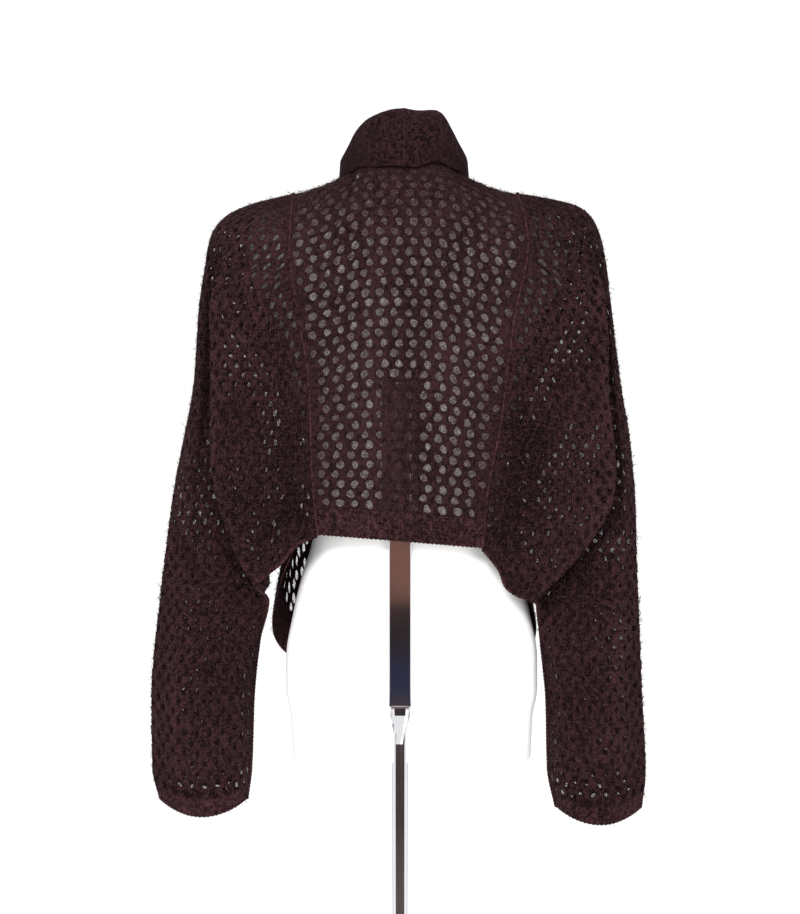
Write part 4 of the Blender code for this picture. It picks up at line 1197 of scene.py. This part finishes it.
def stitches(s: np.ndarray, t: np.ndarray, wale: float, course: float) -> np.ndarray:
    """Height of plain knit, 0 in the grooves and 1 on the legs of the stitches."""
    leg = np.abs((s / wale) % 1.0 - 0.5) * 2
    turn = (t / course + leg * LEG_LEAN) % 1.0
    return np.sin(np.pi * leg) * (LEG_LOW + LEG_GAIN * np.sin(np.pi * turn))


@dataclass
class Plain:
    """Plain knit with its stitches modelled, as on the hem bands, the cuffs and the collar.

    LEVEL is the share of a stitch's height that lies on the piece's face, and GROOVE_REACH how far the
    sunken start of a collar reaches.
    """

    patch: Patch
    start: float
    end: float
    spacing: float = 0.00135
    wale: float = WALE
    course: float = COURSE
    height: float = 0.0009
    wall: float = 0.0022
    scallop: float = 0.0
    groove: float = 0.0

    LEVEL = 0.55
    GROOVE_REACH = 0.004

    def build(self) -> tuple[np.ndarray, np.ndarray, np.ndarray]:
        """Lay out the two faces and the rim of the band.

        Returns:
            Points, quads, and each point's place in the knit with its painted shading.
        """
        width = self.patch.width(self.start, self.end)
        across, down = round(width / self.spacing), round((self.end - self.start) / self.spacing)
        v, u = np.meshgrid(np.linspace(0, 1, down + 1), np.linspace(0, 1, across + 1), indexing="ij")
        t = blend(self.start, self.end, v)
        low, high = self.patch.limits(t)
        s = low + (high - low) * u
        t = t - self.scallop * v ** 6 * np.abs(np.cos(np.pi * s / self.wale))
        raised = self.height * (stitches(s, t, self.wale, self.course) - self.LEVEL)
        raised -= self.groove * np.exp(-((t - self.start) / self.GROOVE_REACH) ** 2)
        outer = self.patch.place(s.ravel(), t.ravel(), raised.ravel())
        inner = self.patch.place(s.ravel(), t.ravel(), np.full(s.size, -self.wall))
        index = np.arange(s.size).reshape(s.shape)
        quads = np.stack([index[:-1, :-1], index[:-1, 1:], index[1:, 1:], index[1:, :-1]], axis=2)
        quads = quads.reshape(-1, 4)
        loop = np.concatenate([index[0, :-1], index[:-1, -1], index[-1, :0:-1], index[:0:-1, 0]])
        following = np.roll(loop, -1)
        rim = np.stack([following, loop, loop + s.size, following + s.size], axis=1)
        quads = np.concatenate([quads, quads[:, ::-1] + s.size, rim])
        if self.patch.flip < 0:
            quads = quads[:, ::-1]
        # The third column is the painted shading of the creases.
        cloth = np.column_stack([s.ravel(), t.ravel(), self.patch.folds_and_painted_shading(s.ravel(), t.ravel())[1]])
        return np.vstack([outer, inner]), quads, np.vstack([cloth, cloth])


@dataclass
class Fibres:
    """Loose fibres that stand out of a piece, as thin tapered ribbons.

    ROOT is how far out they start, RISE the mean and spread of how steeply they stand, BOW how far their
    middle stands out, and CURL how much they bend aside.
    """

    patch: Patch
    start: float
    end: float
    count: int
    seed: int
    length: Pair = (0.0035, 0.0095)
    thick: float = 0.00015

    ROOT = 0.0002
    RISE = (0.22, 0.34)
    BOW = 0.12
    CURL = 0.3

    def build(self) -> tuple[np.ndarray, np.ndarray]:
        """Scatter the fibres.

        Returns:
            Points and quads.
        """
        rng = np.random.default_rng(self.seed)
        t = rng.uniform(self.start, self.end, self.count * 3)
        low, high = self.patch.limits(t)
        widest = (high - low).max()
        keep = rng.uniform(0, widest, len(t)) < high - low
        t, low, high = (a[keep][:self.count] for a in (t, low, high))
        n = len(t)
        s = rng.uniform(low, high)
        root = self.patch.place(s, t, np.full(n, self.ROOT))
        out = unit(self.patch.place(s, t, np.full(n, self.ROOT + 0.01)) - root)
        way = rng.normal(0, 1, (n, 3))
        way = unit(way - out * np.einsum("ij,ij->i", way, out)[:, None])
        reach = rng.uniform(*self.length, n)[:, None] * rng.uniform(0.5, 1.0, n)[:, None]
        rise = np.abs(rng.normal(*self.RISE, n))[:, None]
        bend = rng.normal(0, 0.5, (n, 3))
        tip = root + reach * (way + out * rise)
        aside = np.cross(out, way) * reach * bend[:, :1] * self.CURL
        middle = (root + tip) / 2 + out * reach * self.BOW + aside
        across = unit(np.cross(tip - root, out + 0.4 * bend)) * self.thick
        corners = [root - across * 0.8, root + across * 0.8, middle + across, tip, middle - across]
        return np.stack(corners, axis=1).reshape(-1, 3), np.arange(5 * n).reshape(n, 5)


def cord_of_stitches(points: np.ndarray, radius: float, pitch: float
                     ) -> tuple[np.ndarray, np.ndarray, np.ndarray]:
    """A seam's ridge along a line, swelling at each stitch.

    Args:
        points: The line, one row for each point.
        radius: The ridge's radius.
        pitch: The length of one stitch.

    Returns:
        Points, quads, and each point's place in the knit.
    """
    sides = 6
    lengths = np.concatenate([[0], np.cumsum(np.linalg.norm(np.diff(points, axis=0), axis=1))])
    count = max(8, round(lengths[-1] / pitch * 4))
    at = np.linspace(0, lengths[-1], count)
    line = np.stack([np.interp(at, lengths, points[:, k]) for k in range(3)], axis=1)
    way = unit(np.gradient(line, axis=0))
    side = unit(np.cross(way, [0.31, 0.9, 0.2]))
    up = np.cross(way, side)
    swell = radius * (0.78 + 0.3 * np.abs(np.sin(np.pi * at / pitch)))
    swell[[0, -1]] *= 0.3
    turn = 2 * np.pi * np.arange(sides) / sides
    made = line[:, None] + swell[:, None, None] * (np.cos(turn)[None, :, None] * side[:, None] +
                                                  np.sin(turn)[None, :, None] * up[:, None])
    index = np.arange(count * sides).reshape(count, sides)
    ahead = np.roll(index, -1, axis=1)
    quads = np.stack([index[:-1], ahead[:-1], ahead[1:], index[1:]], axis=2).reshape(-1, 4)
    cloth = np.stack(np.broadcast_arrays(turn[None] * radius, at[:, None], np.zeros((count, sides))), axis=2)
    return made.reshape(-1, 3), quads, cloth.reshape(-1, 3)


class Cardigan:
    """All cloth: openwork, plain bands, seams, collar and nap.

    NAP is how many fibres stand on a square metre, and SCALLOP how far each stitch of a hem hangs down.
    """

    SLOT = "brown_mohair"
    SCALLOP = 0.0012
    NAP = {"back": 220000, "sleeve": 72000, "front": 90000, "band": 60000}
    STITCH = 0.0048
    EDGE_POINTS = 220
    CROWN_POINTS = 80

    def __init__(self) -> None:
        self.garment = Garment()
        self.wool = Mohair().build()
        self.nap = Nap().build()
        self.haze = Haze().build()
        # The sleeves' haze is a darker, thicker copy: painted shade in their eyelets.
        self.sleeve_haze_painted_shade = Haze("mohair_haze_painted_shade", (0.0105, 0.0044, 0.0052), 0.22).build()
        self.dark = Mohair("mohair_collar", (0.0122, 0.0049, 0.0060)).build()
        self.loose = Mohair("mohair_hem", (0.0240, 0.0098, 0.0114)).build()
        # Seam cords use a lighter copy of the knit: painted highlight on their raised ridges.
        self.ridge = Mohair("mohair_seam_painted_highlight", (0.030, 0.0115, 0.0125)).build()
        self.made: list[bpy.types.Object] = []

    def dress(self, piece: bpy.types.Object) -> bpy.types.Object:
        """Let a piece ride on the part."""
        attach(piece, "root")
        self.made.append(piece)
        return piece

    def fibres(self, name: str, patch: Patch, start: float, end: float, density: float, seed: int
               ) -> bpy.types.Object:
        """Nap on part of a piece, at a density in fibres per square metre."""
        count = max(60, round(patch.area(start, end) * density))
        points, quads = Fibres(patch, start, end, count, seed).build()
        return self.dress(mesh_object(name + "_nap", points, [quads], self.nap))

    def declare(self, node: str, patch: Patch, start: float, end: float) -> None:
        """Let a piece stand for its solid, which is hidden."""
        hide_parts(node)
        width = patch.width(start, end)

    def openwork(self, node: str, patch: Patch, start: float, end: float, seed: int, density: float,
                 extra: list[bpy.types.Object], **settings: float) -> None:
        """One net piece with its nap and haze, its settings those of Net."""
        points, triangles, cloth, mist, spans = Net(patch, start, end, seed, **settings).build()
        piece = self.dress(mesh_object(node + "_net", points, [triangles], self.wool, cloth))
        # Sleeves get the haze with painted shade.
        finish = self.sleeve_haze_painted_shade if node.startswith("sleeve") else self.haze
        haze = self.dress(mesh_object(node + "_haze", mist, [spans], finish))
        nap = self.fibres(node, patch, start, end, density, seed + 50)
        self.declare(node, patch, start, end)

    def band(self, node: str, patch: Patch, start: float, end: float, seed: int,
             extra: tuple[bpy.types.Object, ...] = (), **settings: float) -> None:
        """One plain band with its nap, its settings those of Plain."""
        points, quads, cloth = Plain(patch, start, end, **settings).build()
        finish = self.dark if node.startswith("collar") else self.loose
        piece = self.dress(mesh_object(node + "_knit", points, [quads], finish, cloth))
        nap = self.fibres(node, patch, start, end, self.NAP["band"], seed + 50)
        self.declare(node, patch, start, end)

    def seam(self, name: str, points: np.ndarray, radius: float = 0.0020) -> bpy.types.Object:
        """A seam's ridge."""
        made, quads, cloth = cord_of_stitches(points, radius, self.STITCH)
        return self.dress(mesh_object(name, made, [quads], self.ridge, cloth))

    def edge_line(self, patch: Patch, start: float, end: float, low: bool) -> np.ndarray:
        """The line of a piece's side edge, a little proud of it."""
        t = np.linspace(start, end, self.EDGE_POINTS)
        lows, highs = patch.limits(t)
        return patch.place(lows if low else highs, t, np.full(len(t), 0.0001))

    def sleeve(self, side: Side, seed: int) -> None:
        """A sleeve with its seams and cuff."""
        sleeve, name = self.garment.sleeve(side), side.name
        hem, cuff, end = (sleeve.down[k] for k in (Side.CAP_ROWS + Side.BAND_ROWS, -1 - Side.CUFF_ROWS, -1))
        seams = [self.seam("seam_back_" + name, self.edge_line(sleeve, 0.0, hem, True)),
                 self.seam("seam_front_" + name, self.edge_line(sleeve, 0.0, hem, False)),
                 self.seam("seam_under_" + name, self.edge_line(sleeve, hem, end, True), 0.0023)]
        self.openwork("sleeve_" + name, sleeve, 0.0, cuff, seed, self.NAP["sleeve"], seams, grown=0.35,
                      column=0.0165, hole=(0.0027, 0.0043), aside=0.23, staggered=0.5)
        self.band("cuff_" + name, sleeve, cuff, end, seed + 1, scallop=self.SCALLOP)

    def front(self, side: Side, seed: int) -> None:
        """A front with its hem band."""
        front = self.garment.front(side)
        cap, hem = front.down[Side.CAP_ROWS], front.down[Side.CAP_ROWS + Side.BAND_ROWS]
        self.openwork("front_" + side.name, front, 0.0, cap, seed, self.NAP["front"], [])
        self.band("front_hem_" + side.name, front, cap, hem, seed + 1, scallop=self.SCALLOP, spacing=0.0017)

    def collar(self, side: Side, seed: int, extra: list[bpy.types.Object]) -> None:
        """Half of the collar, with the cord of stitches that joins it to the neck."""
        collar = self.garment.collar(side)
        end = collar.down[-1]
        sewn = self.seam("seam_neck_" + side.name, self.edge_line(collar, 0.0, end, True), 0.0028)
        self.band("collar_" + side.name, collar, 0.0, end, seed, [sewn, *extra], spacing=0.0024, wall=0.0027,
                  height=0.0014, groove=0.0014)

    def build(self) -> None:
        """Make every cloth piece."""
        back = self.garment.back()
        cap, hem = back.down[Side.CAP_ROWS], back.down[Side.CAP_ROWS + Side.BAND_ROWS]
        self.openwork("back", back, 0.0, cap, 3, self.NAP["back"], [], top_strip=0.018)
        self.band("back_hem", back, cap, hem, 4, scallop=self.SCALLOP)
        middle = self.garment.collar(LEFT)
        s = np.linspace(middle.low[0], middle.high[0], self.CROWN_POINTS)
        joined = self.seam("seam_middle", middle.place(s, np.zeros_like(s), np.full_like(s, -0.0016)), 0.0013)
        for side, seed, extra in ((LEFT, 10, [joined]), (RIGHT, 30, [])):
            self.sleeve(side, seed)
            self.front(side, seed + 2)
            self.collar(side, seed + 4, extra)


class Form:
    """The smooth white torso shell that the cardigan hangs on."""

    SIDES = 112
    ROWS = 110

    def build(self) -> None:
        """Make the shell and let it stand for its solid."""
        top, bottom = FORM_ROWS[0][0], FORM_ROWS[-1][0]
        share = np.linspace(0, 1, self.ROWS)
        heights = blend(top, bottom, 0.5 - 0.5 * np.cos(np.pi * share))
        turn = 2 * np.pi * np.arange(self.SIDES) / self.SIDES
        cos, sin = np.cos(turn), np.sin(turn)
        rings = []
        for z in heights:
            width, front, back, power = (measure(FORM_ROWS, z, k) for k in (1, 2, 3, 4))
            depth = np.where(sin > 0, back, front)
            x = width * np.sign(cos) * np.abs(cos) ** (2 / power)
            y = depth * np.sign(sin) * np.abs(sin) ** (2 / power)
            x, y = x + measure(FORM_ASIDE, z), y - FORM_FORWARD
            rings.append(np.stack([x, y, np.full(self.SIDES, z)], axis=1))
        rings = np.array(rings)
        middle = rings.mean(axis=1, keepdims=True)
        caps = [middle[:1] + (rings[:1] - middle[:1]) * f for f in (0.02, 0.35, 0.7)]
        ends = [middle[-1:] + (rings[-1:] - middle[-1:]) * f for f in (0.8, 0.4, 0.02)]
        grid = np.concatenate([*caps, rings, *ends])
        index = np.arange(grid.shape[0] * self.SIDES).reshape(-1, self.SIDES)
        ahead = np.roll(index, -1, axis=1)
        quads = np.stack([index[:-1], index[1:], ahead[1:], ahead[:-1]], axis=2).reshape(-1, 4)
        lid = [index[0][None, :], index[-1][None, ::-1]]
        piece = mesh_object("form_shell", grid.reshape(-1, 3), [quads, *lid], FormPlastic().build())
        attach(piece, "root")
        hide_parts("form")
        LOG.info("form: %d faces", len(piece.data.polygons))


class Stand:
    """Bar, rod, socket and foot, which keep their solids."""

    # Finish, its colour, roughness and grain, and the nodes that have it
    FINISHES = (("bright_chrome", (0.74, 0.74, 0.76), 0.025, Grain.POLISHED, ("bar", "rod", "socket")),
                ("satin_steel", (0.56, 0.56, 0.57), 0.26, Grain.BRUSHED, ("base",)),
                ("black_steel", (0.035, 0.033, 0.034), 0.45, Grain.BRUSHED, ("bracket",)))

    def build(self) -> None:
        """Give the metal nodes their finishes."""
        for name, colour, roughness, grain, nodes in self.FINISHES:
            metal = Metal(name, colour, roughness, grain).build()
            for node in nodes:
                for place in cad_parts[node].material_slots:
                    place.material = metal
                LOG.info("%s: %s", node, name)


@dataclass
class Studio:
    """A white room with soft light, and the camera behind the garment."""

    height_seen: float = 1.1425
    centre: Triple = (0.0, -0.03, 1.12125)
    distance: float = 5.0
    sensor: float = 36.0

    # Name, colour, middle and half of its arc in degrees, then radius and height of its near edge and the
    # height of its far edge, which is CARD_REACH away
    CARDS = (("card_top", (0.030, 0.017, 0.018), 90.0, 10.0, 6.5, 0.93, 1.75),
             ("card_brown", (0.20, 0.088, 0.065), 90.0, 10.0, 6.5, 0.707, 0.93),
             ("card_black", (0.018, 0.010, 0.012), 90.0, 10.0, 6.5, 0.545, 0.707),
             ("card_blue", (0.014, 0.020, 0.058), 90.0, 10.0, 6.5, 0.42, 0.545),
             ("card_low", (0.060, 0.034, 0.032), 90.0, 64.0, 6.5, 0.01, 0.42),
             ("card_floor", (0.075, 0.040, 0.036), 90.0, 64.0, 0.7, 0.004, 0.01),
             ("card_front", (0.090, 0.086, 0.088), -90.0, 34.0, 6.5, 0.01, 2.20),
             ("card_front_floor", (0.090, 0.086, 0.088), -90.0, 34.0, 0.7, 0.004, 0.01))
    CARD_REACH = 6.5
    CARD_POINTS = 24
    FLOOR_REACH = 14.0
    WORLD = 1.06

    # Name, place, size and power; all face the garment at the height LAMP_AIM
    LAMPS = (("key", (0.7, 3.4, 2.7), 0.9, 120.0), ("fill", (-1.6, 3.0, 1.2), 1.2, 24.0),
             ("front", (0.5, -2.8, 2.2), 1.6, 24.0))
    LAMP_AIM = 1.1

    def camera(self) -> None:
        """Put the camera level with the middle of the photograph's frame."""
        data = bpy.data.cameras.new("camera")
        data.sensor_fit = "VERTICAL"
        data.sensor_height = self.sensor
        data.lens = self.sensor * self.distance / self.height_seen
        made = bpy.data.objects.new("camera", data)
        made.location = (self.centre[0], self.centre[1] + self.distance, self.centre[2])
        made.rotation_euler = (math.pi / 2, 0.0, math.pi)
        bpy.context.collection.objects.link(made)
        bpy.context.scene.camera = made

    def floor(self) -> None:
        """A wide pale floor under the foot."""
        points = np.array([(-1, -1, 0), (1, -1, 0), (1, 1, 0), (-1, 1, 0)]) * self.FLOOR_REACH
        shader = Shader("floor")
        cloud = shader.noise(3.0, 2.0)
        shader.set(Base_Color=shader.shade(cloud, (1.0, 1.0, 1.0), 0.93, 0.96), Roughness=0.8,
                   Emission_Color=rgba((1.0, 1.0, 1.0)), Emission_Strength=0.12)
        made = mesh_object("floor", points, [np.array([[0, 1, 2, 3]])], shader.material)

    def cards(self) -> None:
        """Dark cards beside the camera, which only the metal mirrors."""
        count = self.CARD_POINTS
        first = np.arange(count - 1)[:, None]
        for name, colour, middle, half, near, low, high in self.CARDS:
            turn = np.radians(np.linspace(middle - half, middle + half, count))
            arcs = [np.column_stack([r * np.cos(turn), r * np.sin(turn), np.full(count, z)])
                    for r, z in ((near, low), (self.CARD_REACH, high))]
            shader = Shader(name)
            cloud = shader.noise(2.0, 2.0)
            shader.set(Base_Color=shader.shade(cloud, colour, 0.7, 1.3), Roughness=0.9)
            quads = first + np.array([0, 1, count + 1, count])
            made = mesh_object(name, np.vstack(arcs), [quads], shader.material)
            made.visible_camera = False
            made.visible_diffuse = False
            made.visible_shadow = False

    def lamp(self, name: str, place: Triple, size: float, power: float) -> None:
        """A square soft light that faces the garment."""
        data = bpy.data.lights.new(name, "AREA")
        data.size = size
        data.energy = power
        made = bpy.data.objects.new(name, data)
        made.location = place
        away = np.array(place) - np.array([0.0, 0.0, self.LAMP_AIM])
        flat = math.hypot(away[0], away[1])
        made.rotation_euler = (math.atan2(flat, away[2]), 0.0, math.atan2(away[0], -away[1]))
        bpy.context.collection.objects.link(made)

    def build(self) -> None:
        """Make the room."""
        world = bpy.data.worlds.new("room")
        world.use_nodes = True
        light = world.node_tree.nodes["Background"]
        light.inputs["Color"].default_value = (1.0, 1.0, 1.0, 1.0)
        light.inputs["Strength"].default_value = self.WORLD
        bpy.context.scene.world = world
        bpy.context.scene.view_settings.view_transform = "Standard"
        self.floor()
        self.cards()
        self.camera()
        for lamp in self.LAMPS:
            self.lamp(*lamp)


def main() -> None:
    """Build every piece and log how many triangles the cloth takes."""
    logging.basicConfig(level=logging.INFO, format="%(message)s")
    Studio().build()
    cardigan = Cardigan()
    cardigan.build()
    Form().build()
    Stand().build()
    total = 0
    for piece in cardigan.made:
        count = sum(len(face.vertices) - 2 for face in piece.data.polygons)
        total += count
        LOG.info("%s: %d triangles", piece.name, count)
    LOG.info("cloth: %d triangles", total)


if __name__ == "__main__":
    main()
